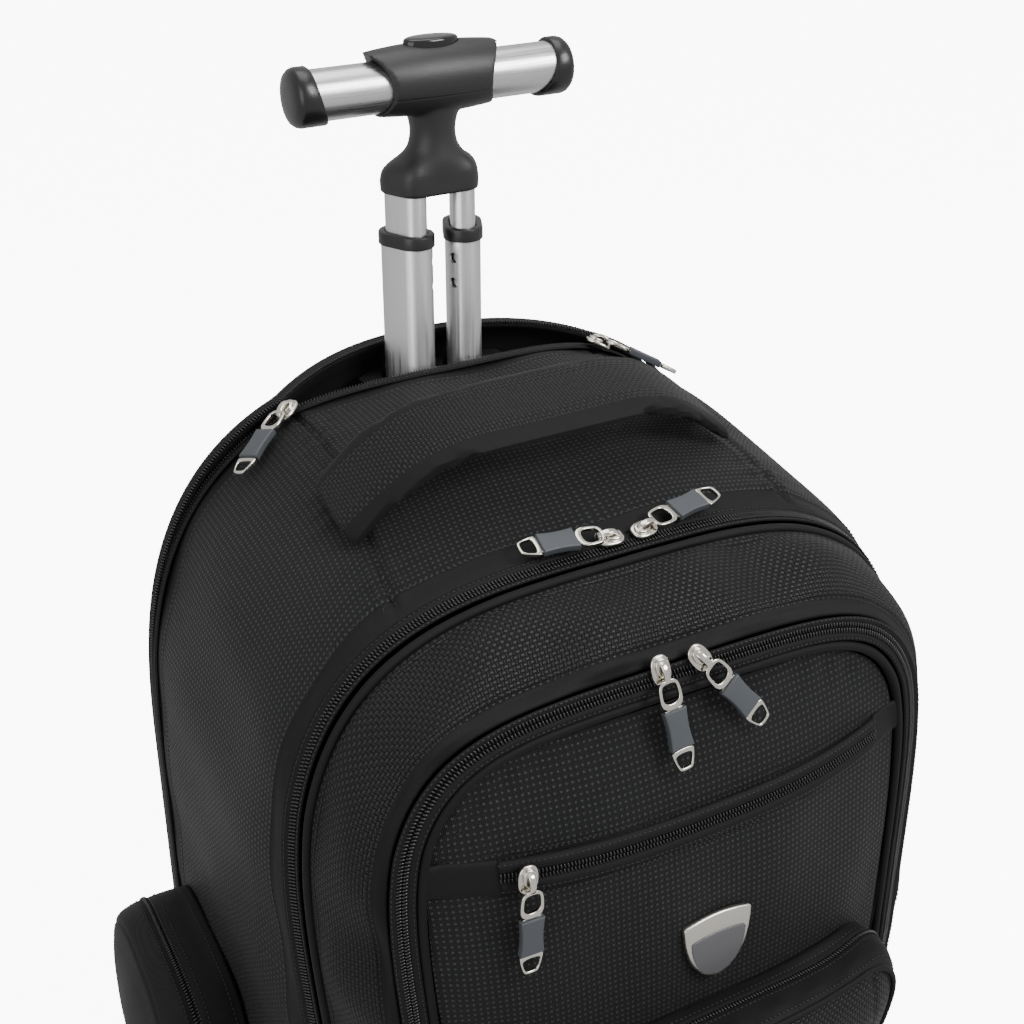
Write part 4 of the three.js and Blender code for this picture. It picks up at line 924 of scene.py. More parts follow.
def grip_plastic():
    """Soft satin plastic of the grip, with the line where its two mould halves met."""
    material, tree, shader = new_material("grip_plastic")
    noise = object_noise(tree, 1200.0)
    place = add(tree, "ShaderNodeTexCoord").outputs["Object"]
    height = add(tree, "ShaderNodeSeparateXYZ", {0: place}).outputs[2]
    away = maths(tree, "ABSOLUTE", maths(tree, "SUBTRACT", height, (BAR_HEIGHT - 4) * 0.001))
    line = ramp(tree, away, 0.0001, 0.0005, 0.0, 1.0)
    colour = blend_colours(tree, line, (0.002, 0.002, 0.002, 1), (0.0115, 0.0115, 0.0118, 1))
    tree.links.new(colour, shader.inputs["Base Color"])
    tree.links.new(ramp(tree, noise, 0.2, 0.8, 0.4, 0.5), shader.inputs["Roughness"])
    raised = maths(tree, "MULTIPLY_ADD", line, 3.0, noise)
    bump = add(tree, "ShaderNodeBump", {"Strength": 0.6, "Distance": 0.0001, "Height": raised})
    tree.links.new(bump.outputs[0], shader.inputs["Normal"])
    return material


def padded_mesh():
    """Spacer mesh with small open holes, for the back panel and the straps."""
    cloth = bpy.context.scene.backpack_cloth
    material, tree, shader = new_material("padded_mesh")
    place, _, _ = cloth_axes(tree)
    cell = add(tree, "ShaderNodeTexVoronoi", {"Vector": place, "Scale": 330.0, "Randomness": 0.15},
               feature="DISTANCE_TO_EDGE").outputs["Distance"]
    # Painted shade: the open holes are painted darker than the strands around them
    hole = ramp(tree, cell, 0.08, 0.28, 1.0, 0.0)
    colour = blend_colours(tree, hole, rgba(cloth.tape, 0.4), rgba(cloth.tape, 2.2))
    finish_cloth(tree, shader, hole, colour, 0.8, 0.0005, sheen=0.35)
    return material


def thread():
    """Black sewing thread."""
    material, _, shader = new_material("thread")
    shader.inputs["Base Color"].default_value = rgba(bpy.context.scene.backpack_cloth.ballistic, 1.4)
    shader.inputs["Roughness"].default_value = 0.5
    return material


def coil():
    """Glossy black nylon coil."""
    material, _, shader = new_material("coil")
    shader.inputs["Base Color"].default_value = rgba(bpy.context.scene.backpack_zips.tooth)
    shader.inputs["Roughness"].default_value = 0.26
    return material


def object_noise(tree, scale, stretch=(1, 1, 1), detail=3.0):
    place = add(tree, "ShaderNodeTexCoord").outputs["Object"]
    sized = add(tree, "ShaderNodeMapping", {"Vector": place, "Scale": stretch})
    noise = add(tree, "ShaderNodeTexNoise", {"Vector": sized.outputs[0], "Scale": scale, "Detail": detail})
    return noise.outputs[0]


def metal(name, colour, roughness, grain, stretch):
    """Metal with a fine grain that runs one way."""
    material, tree, shader = new_material(name)
    noise = object_noise(tree, grain, stretch)
    shader.inputs["Metallic"].default_value = 1.0
    shader.inputs["Base Color"].default_value = rgba(colour)
    tree.links.new(ramp(tree, noise, 0.3, 0.7, roughness * 0.8, roughness * 1.25), shader.inputs["Roughness"])
    bump = add(tree, "ShaderNodeBump", {"Strength": 0.25, "Distance": 0.00005, "Height": noise})
    tree.links.new(bump.outputs[0], shader.inputs["Normal"])
    return material


def solid(name, colour, roughness, grain=900.0, depth=0.00005):
    """Moulded plastic or rubber with a fine skin texture."""
    material, tree, shader = new_material(name)
    noise = object_noise(tree, grain)
    shader.inputs["Base Color"].default_value = rgba(colour)
    rough = ramp(tree, noise, 0.2, 0.8, roughness * 0.85, roughness * 1.15)
    tree.links.new(rough, shader.inputs["Roughness"])
    bump = add(tree, "ShaderNodeBump", {"Strength": 0.5, "Distance": depth, "Height": noise})
    tree.links.new(bump.outputs[0], shader.inputs["Normal"])
    return material


def floor_paper():
    """White studio paper."""
    material, _, shader = new_material("floor_paper")
    shader.inputs["Base Color"].default_value = (0.92, 0.92, 0.92, 1.0)
    shader.inputs["Roughness"].default_value = 0.9
    shader.inputs["Emission Color"].default_value = (1.0, 1.0, 1.0, 1.0)
    shader.inputs["Emission Strength"].default_value = bpy.context.scene.backpack_stage.floor_glow
    return material


def hardware():
    return bpy.context.scene.backpack_hardware


MAKERS = {
    "ballistic_nylon": ballistic_nylon,
    "dobby_nylon": dobby_nylon,
    "zip_tape": zip_tape,
    "padded_mesh": padded_mesh,
    "thread": thread,
    "coil": coil,
    "nickel": lambda: metal("nickel", hardware().nickel, 0.16, 700.0, (1, 1, 1)),
    "brushed_nickel": lambda: metal("brushed_nickel", hardware().nickel, 0.3, 500.0, (0.05, 1, 1)),
    "aluminium_tube": lambda: metal("aluminium_tube", hardware().aluminium, 0.36, 1400.0, (1, 1, 0.02)),
    "axle_steel": lambda: metal("axle_steel", (0.32, 0.32, 0.31), 0.3, 900.0, (1, 1, 1)),
    "grip_rubber": lambda: solid("grip_rubber", hardware().rubber, 0.5),
    "black_plastic": lambda: solid("black_plastic", hardware().plastic, 0.36),
    "glossy_plastic": lambda: solid("glossy_plastic", hardware().plastic, 0.1, depth=0.00001),
    "fine_nylon": fine_nylon,
    "webbing": webbing,
    "grip_plastic": grip_plastic,
    "satin_plastic": lambda: solid("satin_plastic", hardware().plastic, 0.3),
    "aluminium_bar": lambda: metal("aluminium_bar", hardware().aluminium, 0.3, 1400.0, (0.02, 1, 1)),
    "badge_grey": lambda: solid("badge_grey", (0.085, 0.085, 0.09), 0.35),
    "tyre_rubber": lambda: solid("tyre_rubber", (0.011, 0.011, 0.0112), 0.62),
    "floor_paper": floor_paper,
}


def materials(name):
    """A material by name, made the first time that it is asked for."""
    return bpy.data.materials.get(name + FINISH) or MAKERS[name]()


# Handing a finished piece to the frame

def finish_piece(obj, nodes=(), body="bag"):
    if nodes:
        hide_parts(*nodes)
    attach(obj, body)
    return obj


def slit_depth(q):
    """How far the main shell's rim stands back from the CAD's rear rim, as a share of its depth."""
    x, z = arch(main_section(1.0), 0, q)
    high = z > BODY_TOP - SLIT_DEPTH
    return 1 - np.where(high, SLIT_FRONT * slit_share(x) / MAIN_DEPTH, 0)


SEAM_PLACES = [
    {"y": -80.0, "x": 108.0},
    {"y": -43.0, "x": 103.0},
    {"y": 3.0, "x": 96.0},
    {"y": 36.0, "x": 90.0},
    {"y": 92.0, "x": 88.0},
]


def top_seam_x(y):
    """How far from the middle the seam lies between the top and the side panels."""
    return curve_through(column(SEAM_PLACES, "y"), column(SEAM_PLACES, "x"), y)


class BACKPACK_OT_main_shell(bpy.types.Operator):
    """Build the main shell with its panels, seams and divider"""
    bl_idname = "backpack.main_shell"
    bl_label = "Main shell"

    def execute(self, context):
        cloth = context.scene.backpack_cloth
        columns, rows = 520, 84
        q = even_q(columns)
        rim = slit_depth(q)
        divider = 1 - DIVIDER_SETBACK / MAIN_DEPTH
        t = np.linspace(0, 1, rows)[:, None]
        outer = main_point(q[None, :], t * rim[None, :])
        surface = Surface(leaned(outer), wrap=True)
        if surface.normals[rows // 2, :, 2].max() < 0 or surface.normals[rows // 2, columns // 3, 2] < 0:
            surface = Surface(leaned(outer), wrap=True, outward=-1)
        x, y, z = outer[..., 0], outer[..., 1], outer[..., 2]
        edge_fade = smooth(t / 0.06) * smooth((1 - t) / 0.06)
        seam = np.abs(np.abs(x) - top_seam_x(y))
        on_crown = smooth((z - 300) / 60)
        halfway = surface.points[rows // 2]
        length = np.cumsum(np.linalg.norm(np.diff(halfway, axis=0, prepend=halfway[:1]), axis=1))
        height = cloth.wrinkle * 1000 * undulation(length[None, :], y, 95, 11) * edge_fade
        puckers = np.sin(y * 0.35 + 3 * np.sin(y * 0.11)) * groove(seam, 16) * on_crown
        height = height + 0.6 * puckers * edge_fade - 2.0 * groove(seam, 1.6) * on_crown * edge_fade
        height = height + 0.9 * groove(seam - 4, 2.8) * on_crown * edge_fade
        band = BAND_WIDTH
        front_distance = t * MAIN_DEPTH
        rear_distance = (1 - t) * MAIN_DEPTH
        tape_edges = 0.9 * groove(front_distance - band, 1.0), 0.9 * groove(rear_distance - band * 1.5, 1.0)
        height = height - tape_edges[0] - tape_edges[1]
        surface.push(height)
        inside = leaned(main_point(q[None, :], np.linspace(divider - 0.015, 0.004, 8)[:, None], CLOTH_WALL))
        behind_share = np.linspace(0, 1, 5)[:, None]
        behind = leaned(main_point(q[None, :], mix(rim[None, :] - 0.001, divider, behind_share), CLOTH_WALL))
        front_cap = disc(inside[0])
        back_cap = disc(behind[-1])[::-1]
        grid = np.concatenate([front_cap[:-1], inside, surface.points, behind, back_cap[1:]])
        first = len(front_cap) - 1 + len(inside)

        def pick(row, place, centre):
            along = (row - first) / (rows - 1) * MAIN_DEPTH
            taped = (along < band) | (along > MAIN_DEPTH - band * 1.5)
            return np.where(taped | (row < first) | (row >= first + rows), 1, 0)

        obj = grid_body("main_shell_cloth", grid, [materials("dobby_nylon"), materials("zip_tape")],
                        wrap_columns=True, capped=True, pick=pick)
        finish_piece(obj, ["main_shell"])
        low, high = np.searchsorted(q, 1.0), np.searchsorted(q, 4.0)
        places = np.arange(low, high, 0.5)
        step = (rows - 1) / MAIN_DEPTH
        chains = [surface.at(np.full(len(places), distance * step), places, 0.15)
                  for distance in (band + 2.0, MAIN_DEPTH - band * 1.5 - 2.5)]
        chains += seam_chains(surface, outer, rows, 3.0)
        finish_piece(stitches("main_shell_stitches", chains))
        return {"FINISHED"}


def disc(ring, count=5):
    """Rings that shrink from an outline to its middle, as grid rows from the middle out."""
    middle = ring.mean(axis=0)
    return np.stack([mix(middle, ring, size) for size in np.linspace(0.03, 1, count)])


def seam_chains(surface, outer, rows, offset):
    """Stitch rows beside the seams between the top and the side panels."""
    chains = []
    for side in (-1, 1):
        for shift in (-offset, offset):
            wanted = side * (top_seam_x(outer[:, 0, 1]) + shift)
            high = outer[..., 2] > 300
            places = []
            for row in range(rows):
                near = np.where(high[row], np.abs(outer[row, :, 0] - wanted[row]), 1e9)
                places.append(int(np.argmin(near)))
            row_places = np.arange(4, rows - 4, dtype=float)
            smoothed = np.convolve(np.array(places, dtype=float), np.ones(7) / 7, mode="same")[4:rows - 4]
            chains.append(surface.at(row_places, smoothed, 0.15))
    return chains


class BACKPACK_OT_rear(bpy.types.Operator):
    """Build the rear shell and the open rear zip"""
    bl_idname = "backpack.rear"
    bl_label = "Rear shell and zip"

    def execute(self, context):
        outline = Outline(BODY_HALF * 0.975, BODY_TOP * 0.997 + REAR_RISE, 2.9, BODY_FLOOR, FLOOR_CORNER)
        columns = 420
        q = even_q(columns)
        x, z = arch(outline, 0, q)
        high = z > BODY_TOP - SLIT_DEPTH
        slit_y = np.maximum(REAR_RIM_Y + SLIT_REAR * slit_share(x), REAR_RIM_Y + GAP)
        rim_y = np.where(high, slit_y, REAR_RIM_Y + GAP)
        t = np.linspace(0, 1, 12)[:, None]
        rear_y = np.maximum(back_y(x), rim_y + 3)
        fold = 5.0
        side_y = mix(rim_y[None, :], rear_y[None, :] - fold, t)
        side = np.stack(np.broadcast_arrays(x[None, :], side_y, z[None, :]), -1)
        turn = np.linspace(0, math.pi / 2, 6)[1:, None]
        rounded_x, rounded_z = arch_inset(outline, q, fold * (1 - np.cos(turn)))
        rounded_y = rear_y[None, :] - fold + fold * np.sin(turn)
        rounding = np.stack(np.broadcast_arrays(rounded_x, rounded_y, rounded_z), -1)
        size = np.linspace(0.97, 0.02, 40)[:, None]
        middle_z = (outline.floor + outline.top) / 2
        face_x, face_z = rounded_x[-1] * size, middle_z + (rounded_z[-1] - middle_z) * size
        settle = smooth((1 - size) / 0.12)
        face_y = mix(rear_y[None, :], back_y(face_x), settle)
        face = np.stack(np.broadcast_arrays(face_x, face_y, face_z), -1)
        inner_x, inner_z = arch_inset(outline, q, np.array([[CLOTH_WALL], [CLOTH_WALL]]))
        inner_y = rim_y[None, :] + np.array([[1.0], [3.0]])
        inner_rim = np.stack(np.broadcast_arrays(inner_x, inner_y, inner_z), -1)
        lining = face.copy()
        lining[..., 1] -= CLOTH_WALL
        grid = np.concatenate([lining[::-1], inner_rim[::-1], side, rounding, face])
        obj = grid_body("rear_shell_cloth", leaned(grid), [materials("dobby_nylon"), materials("zip_tape")],
                        wrap_columns=True, capped=True,
                        pick=lambda row, place, centre: np.where(row < 48, 1, 0))
        finish_piece(obj, ["rear_shell"])
        for row_side, name in ((-1, "rear_zip_front_row"), (1, "rear_zip_rear_row")):
            self.zip_row(row_side, name)
        return {"FINISHED"}

    def zip_row(self, row_side, name):
        """One tape and coil row, from one side over the top to the other."""
        q = even_q(700, 1.0, 4.0, closed=False)
        if row_side > 0:
            outline = Outline(BODY_HALF * 0.975, BODY_TOP * 0.997 + REAR_RISE, 2.9, BODY_FLOOR, FLOOR_CORNER)
        else:
            outline = main_section(1.0)
        x, z = arch(outline, 0, q)
        keep = z > REAR_ZIP_FOOT
        x, z, q = x[keep], z[keep], q[keep]
        high = z > BODY_TOP - SLIT_DEPTH
        if row_side > 0:
            slit_y = np.maximum(REAR_RIM_Y + SLIT_REAR * slit_share(x), REAR_RIM_Y + GAP)
            edge = np.where(high, slit_y, REAR_RIM_Y + GAP)
        else:
            edge = np.where(high, REAR_RIM_Y - SLIT_FRONT * slit_share(x), REAR_RIM_Y)
        path = np.stack([x, np.zeros_like(x), z], -1)
        along = unit(np.gradient(path, axis=0))
        out = np.cross(along, [0.0, 1.0, 0.0])
        out = out * np.sign(out[:, 2:3] * 1.0 + out[:, 0:1] * np.sign(x)[:, None])
        out = unit(out)
        profile = [(0.3, 1.1), (0.3, 1.7), (1.2, 2.2), (3.0, 1.9), (6.3, 1.7), (6.3, 1.1)]
        rows = []
        for width, height in profile:
            y = edge + row_side * width
            drop = np.where((row_side < 0) & (z > 300), body_height(x, y) - z, 0)
            drop = clamp(drop, 0, 3)
            point = np.stack([x, y, z + drop], -1) + out * height
            rows.append(point)
        grid = leaned(np.stack(rows, axis=1))
        obj = grid_body(name + "_tape", grid, [materials("zip_tape")], wrap_columns=True, capped=True)
        finish_piece(obj, [name])
        near = np.stack([x, edge - row_side * 0.6, z], -1) + out * 1.7
        tips = repeat(name + "_coil", [(leaned(near), out)], materials("coil"),
                      spacing=0.0016, length=0.00095,
                      width=0.0034, height=0.0017, turn=math.radians(10 * row_side), jitter=0.04)
        finish_piece(tips)
        row_line = np.stack([x, edge + row_side * 4.4, z], -1) + out * 2.0
        drop = np.where((row_side < 0) & (z > 300), body_height(x, row_line[:, 1]) - z, 0)
        row_line[:, 2] += clamp(drop, 0, 3)
        finish_piece(stitches(name + "_stitches", [(leaned(row_line), out)], pitch=0.8))


def arch_inset(outline, q, inset):
    """The outline drawn in by each of several distances, a row for each."""
    rows = [arch(outline, float(step[0]), q) for step in inset]
    return np.array([row[0] for row in rows]), np.array([row[1] for row in rows])


def band_grid(wide, wide_y, narrow, narrow_y, q, t):
    """Rows across a band from its wide edge to its narrow edge."""
    x0, z0 = arch(wide, 0, q)
    x1, z1 = arch(narrow, 0, q)
    start = np.stack([x0, wide_y(z0), z0], -1)
    end = np.stack([x1, narrow_y(z1), z1], -1)
    return mix(start[None], end[None], t[:, None, None])


def thick_loop(surface, thickness):
    """Closes a band's outside with an inside at a distance, as rows that go round its section."""
    inside = surface.points - surface.normals * thickness
    return np.concatenate([surface.points, inside[::-1]])


def outward_surface(points, away):
    """A closed band's surface whose directions point away from the bag's middle or to the front."""
    surface = Surface(points, wrap=True)
    if (surface.normals[len(points) // 2] * away).sum() < 0:
        surface = Surface(points, wrap=True, outward=-1)
    return surface


def zip_band(name, node, grid, away, middle, thickness):
    """A closed zip: two tapes that rise to the coil, the interlocked coil rows and their stitch lines."""
    rows = len(grid)
    t = np.linspace(0, 1, rows)
    surface = outward_surface(leaned(grid), away)
    width = np.linalg.norm(surface.points[-1] - surface.points[0], axis=-1)
    distance = (t[:, None] - middle) * width[None, :]
    height = -1.3 * groove(distance, 2.6) + 0.5 * groove(np.abs(distance) - 4.0, 1.6) * np.ones_like(distance)
    fade = smooth(t / 0.1) * smooth((1 - t) / 0.1)
    surface.push(height * fade[:, None])
    obj = grid_body(name, thick_loop(surface, thickness), [materials("zip_tape")],
                    wrap_columns=True, wrap_rows=True)
    finish_piece(obj, [node])
    places = np.arange(0, grid.shape[1], 0.5)
    row = middle * (rows - 1)
    line, outs = surface.at(np.full(len(places), row), places, 0.9)
    ahead, _ = surface.at(np.full(len(places), row + 1), places, 0.9)
    across = unit(ahead - line)
    finish_piece(teeth(name + "_coil", line, across, outs, closed=True))
    chains = []
    mean_width = width.mean()
    for side in (-1, 1):
        place = clamp(row + side * 5.2 / mean_width * (rows - 1), 1, rows - 2)
        chains.append(surface.at(np.full(len(places), place), places, 0.12))
    finish_piece(stitches(name + "_stitches", chains, closed=True, pitch=0.85))


def piping(name, node, outline, depth_of):
    """A covered cord all the way round an outline."""
    q = even_q(760)
    x, z = arch(outline, 0, q)
    path = leaned(np.stack([x, depth_of(z), z], -1))
    grid = tube_grid(path, PIPING_RADIUS * 0.94, 14, closed=True)
    wave = 1 + 0.02 * undulation(np.arange(760) * 2.0, 0, 40, 5)
    grid = path[:, None, :] + (grid - path[:, None, :]) * wave[:, None, None]
    obj = grid_body(name, grid, [materials("zip_tape")], wrap_columns=True, wrap_rows=True)
    return finish_piece(obj, [node])


class BACKPACK_OT_front_zips(bpy.types.Operator):
    """Build the main zip, the pocket zip, both pipings and the gusset between them"""
    bl_idname = "backpack.front_zips"
    bl_label = "Front zips and gusset"

    def execute(self, context):
        cloth = context.scene.backpack_cloth
        q = even_q(620)
        t = np.linspace(0, 1, 15)
        back = main_section(0.0)
        proud = PIPING_RADIUS + GAP
        narrow = FRONT._replace(half=FRONT.half + proud, top=FRONT.top + proud)
        grid = band_grid(back, lambda z: MAIN_ZIP_Y - GAP - forward(FRONT_LEAN, back.top, z),
                         narrow, lambda z: main_plane(z) + proud, q, t)
        zip_band("main_zip_tape", "main_zip", grid, self.away(grid), 0.5, 1.6)
        piping("main_piping_cord", "main_piping", FRONT, main_plane)
        self.gusset(cloth)
        inside = PIPING_RADIUS + GAP * 1.5
        front = POCKET._replace(
            half=POCKET.half + inside, top=POCKET.top + inside, floor=POCKET.floor - inside)
        grid = band_grid(
            POCKET_ZIP, lambda z: pocket_plane(z) + 1.2, front, lambda z: pocket_plane(z) - 1.5, q, t)
        zip_band("pocket_zip_tape", "pocket_zip", grid, np.array([0.0, -1.0, 0.0]), 0.46, 1.6)
        piping("pocket_piping_cord", "pocket_piping", POCKET, pocket_plane)
        return {"FINISHED"}

    @staticmethod
    def away(grid):
        middle = grid.reshape(-1, 3).mean(axis=0)
        return unit(grid[len(grid) // 2] - middle)

    def gusset(self, cloth):
        columns, rows = 560, 44
        q = even_q(columns)
        way = np.linspace(0, 1, rows)
        stations = [(0.0, 0.0), (0.3, 0.12), (0.7, 0.42), (1.0, 0.8)]
        places = np.array([row[0] for row in stations])
        steps = np.array([row[1] for row in stations]) / stations[-1][1]
        share = curve_through(places, steps, way)[:, None]
        start = Outline(FRONT.half - GAP, FRONT.top - GAP, FRONT.shoulder, FRONT.floor, FRONT.corner)
        outline = Outline(*(mix(np.asarray(a), np.asarray(b), share) for a, b in zip(start, POCKET_ZIP)))
        x, z = arch(outline, 0.0, np.broadcast_to(q, (rows, columns)))
        back = main_plane(z, PIPING_RADIUS + GAP)
        front = POCKET_Y + 3.5 - forward(POCKET_LEAN, POCKET.top, z)
        y = mix(back, front, way[:, None])
        points = leaned(np.stack([x, y, z], -1))
        surface = outward_surface(points, self.away(points))
        around = np.arange(columns) * 2.1
        fade = (smooth(way / 0.12) * smooth((1 - way) / 0.12))[:, None]
        folds = undulation(around[None, :], way[:, None] * 47, 60, 21)
        ridge = np.sin(around[None, :] * 0.085 + 1.5 * np.sin(around[None, :] * 0.021) + way[:, None] * 2.2)
        sway = 0.9 * ridge * undulation(around[None, :], 0, 160, 4)
        height = (cloth.wrinkle * 1000 * 1.1 * folds + sway) * fade
        crown = 1.6 * np.sin(math.pi * way)[:, None]
        height = height + crown - 1.0 * groove((1 - way[:, None]) * 47 - 6, 1.2)
        surface.push(height * np.ones_like(x))
        inside = surface.points - surface.normals * CLOTH_WALL
        lining = inside.copy()
        wall = leaned(np.stack([x[0], back[0] - CLOTH_WALL, z[0]], -1))
        grid = np.concatenate([disc(leaned(np.stack([x[0], back[0], z[0]], -1)))[:-1], surface.points,
                               lining[:1:-3], disc(mix(wall.mean(axis=0), wall, 0.97))[::-1]])
        first = 4

        def pick(row, place, centre):
            near_front = (row >= first + rows - 7) & (row < first + rows)
            return np.where(near_front | (row < first) | (row >= first + rows), 1, 0)

        obj = grid_body("front_gusset_cloth", grid, [materials("ballistic_nylon"), materials("zip_tape")],
                        wrap_columns=True, capped=True, pick=pick)
        finish_piece(obj, ["front_gusset"])
        places = np.arange(0, columns, 0.5)
        chains = [surface.at(np.full(len(places), row), places, 0.15) for row in (3.0, rows - 9.0)]
        finish_piece(stitches("front_gusset_stitches", chains, closed=True))


class BACKPACK_OT_front_pocket(bpy.types.Operator):
    """Build the front pocket's face with its welt zip and facing strip"""
    bl_idname = "backpack.front_pocket"
    bl_label = "Front pocket"

    def execute(self, context):
        cloth = context.scene.backpack_cloth
        outline = POCKET
        inset = PIPING_RADIUS + GAP
        half = outline.half - inset
        columns, below, above = 240, 84, 44
        x = half * np.sin(np.linspace(-1, 1, columns) * math.pi / 2)
        low, high = span(outline, inset, x)
        welt = WELT_HEIGHT - WELT_SAG * (1 - ((x - WELT_X) / WELT_HALF) ** 2)
        welt = clamp(welt, low + 2, high - 2)
        rows = [mix(low, welt, t) for t in np.linspace(0, 1, below)]
        rows += [mix(welt, high, t) for t in np.linspace(0, 1, above)[1:]]
        z = np.array(rows)
        x = np.broadcast_to(x, z.shape)
        points = np.stack([x, pocket_face(x, z), z], -1)
        surface = Surface(leaned(points))
        if surface.normals[50, columns // 2, 1] > 0:
            surface = Surface(leaned(points), outward=-1)
        edge = np.minimum(z - low, high - z)
        edge = np.minimum(edge, half - np.abs(x))
        fade = smooth(edge / 14)
        folds = cloth.wrinkle * 1000 * 0.9 * undulation(x, z, 85, 31) * fade
        puckers = 0.5 * np.sin(x * 0.3 + 2 * np.sin(x * 0.07)) * groove(edge - 6, 9) * smooth(edge / 5)
        dip = 0.9 * groove(z - welt, 8) * smooth((WELT_HALF + 6 - np.abs(x - WELT_X)) / 8)
        rim = 1.0 * groove(edge, 3)
        surface.push(folds + puckers - dip - rim)
        uv = np.stack([x, z], -1)
        inside = surface.points + np.array([0.0, CLOTH_WALL, 0.0])
        cloths = [materials("dobby_nylon"), materials("ballistic_nylon")]
        body = grid_body("front_pocket_cloth", surface.points, cloths,
                         uv=uv, pick=lambda row, place, centre: np.where(row < below - 1, 1, 0))
        lining = grid_body("front_pocket_lining", inside[::4, ::4], [materials("zip_tape")], uv=uv[::4, ::4])
        body = join_into(body, [lining])
        finish_piece(body, ["front_pocket"])
        self.welt()
        return {"FINISHED"}

    def strip(self, x0, x1, width, lift, thickness):
        """A flat strip laid on the pocket's face along the welt."""
        x = np.linspace(x0, x1, max(6, int((x1 - x0) / 1.5)))
        middle = WELT_HEIGHT - WELT_SAG * (1 - ((x - WELT_X) / WELT_HALF) ** 2)
        across = np.linspace(-0.5, 0.5, 9)[:, None] * width
        z = middle[None, :] + across
        x = np.broadcast_to(x, z.shape)
        crown = 0.5 * (1 - (2 * across / width) ** 6)
        points = np.stack([x, pocket_face(x, z) - lift - crown * thickness, z], -1)
        foot = points + np.array([0.0, thickness, 0.0])
        return np.concatenate([points, foot[::-1]])

    def welt(self):
        x = np.linspace(WELT_X - WELT_HALF, WELT_X + WELT_HALF, 300)
        middle = WELT_HEIGHT - WELT_SAG * (1 - ((x - WELT_X) / WELT_HALF) ** 2)
        profile = [(-7.5, 0.5), (-7.2, 1.6), (-5.0, 2.3), (-3.0, 2.3), (-2.2, 1.2), (0, 0.9), (2.2, 1.2),
                   (3.0, 2.3), (5.0, 2.3), (7.2, 1.6), (7.5, 0.5)]
        rows = [np.stack([x, pocket_face(x, middle + across) - 0.4 - out, middle + across], -1)
                for across, out in profile]
        back = [np.stack([x, pocket_face(x, middle + across) - 0.2, middle + across], -1)
                for across in (7.4, 0, -7.4)]
        grid = leaned(np.stack(rows + back, axis=1))
        tape = grid_body("welt_zip_tape", grid, [materials("zip_tape")], wrap_columns=True, capped=True)
        ends = []
        margin = 3.6
        reaches = (
            ("left", margin - POCKET.half, WELT_X - WELT_HALF),
            ("right", WELT_X + WELT_HALF, POCKET.half - margin),
        )
        for name, x0, x1 in reaches:
            strip = leaned(self.strip(x0, x1, WELT_WIDTH + 1, lift=0.9, thickness=1.2))
            ends.append(grid_body("welt_end_" + name, strip, [materials("zip_tape")], wrap_rows=True))
        tape = join_into(tape, ends)
        face_out(tape)
        finish_piece(tape, ["welt_zip"])
        line = np.stack([x, pocket_face(x, middle) - 2.1, middle], -1)
        outs = np.broadcast_to([0.0, -1.0, 0.0], line.shape)
        across = np.broadcast_to([0.0, 0.0, 1.0], line.shape)
        finish_piece(teeth("welt_zip_coil", leaned(line), across, outs))
        chains = []
        for shift in (-6.2, 6.2, -10.5, 10.5):
            z = middle + shift
            lift = 2.4 if abs(shift) < 7 else 0.35
            chains.append((leaned(np.stack([x, pocket_face(x, z) - lift, z], -1)), outs))
        finish_piece(stitches("welt_zip_stitches", chains, pitch=0.85))


def rounded_outline(half, low, high, corner, count):
    """A rounded rectangle as even points."""
    turn = np.linspace(0, math.pi / 2, 12)
    middles = [(half - corner, low + corner, -90), (half - corner, high - corner, 0),
               (corner - half, high - corner, 90), (corner - half, low + corner, 180)]
    points = []
    for x, z, start in middles:
        angle = math.radians(start) + turn
        points.append(np.stack([x + corner * np.cos(angle), z + corner * np.sin(angle)], -1))
    points = np.concatenate(points)
    points = np.concatenate([points, points[:1]])
    length = np.concatenate([[0], np.cumsum(np.linalg.norm(np.diff(points, axis=0), axis=1))])
    even = np.linspace(0, length[-1], count + 1)[:-1]
    return np.interp(even, length, points[:, 0]), np.interp(even, length, points[:, 1])


# A pocket's rings from its rim to the middle of its face: the outline's size and the share of its depth
BULGE_ROWS = [
    {"place": 0.0, "size": 1.0, "out": 0.0},
    {"place": 0.22, "size": 1.0, "out": 0.5},
    {"place": 0.36, "size": 0.985, "out": 0.78},
    {"place": 0.46, "size": 0.94, "out": 0.93},
    {"place": 0.62, "size": 0.75, "out": 1.0},
    {"place": 1.0, "size": 0.02, "out": 1.0},
]


def bulge(count):
    t = np.linspace(0, 1, count)
    place = column(BULGE_ROWS, "place")
    size = curve_through(place, column(BULGE_ROWS, "size"), t)
    return t, size, curve_through(place, column(BULGE_ROWS, "out"), t)


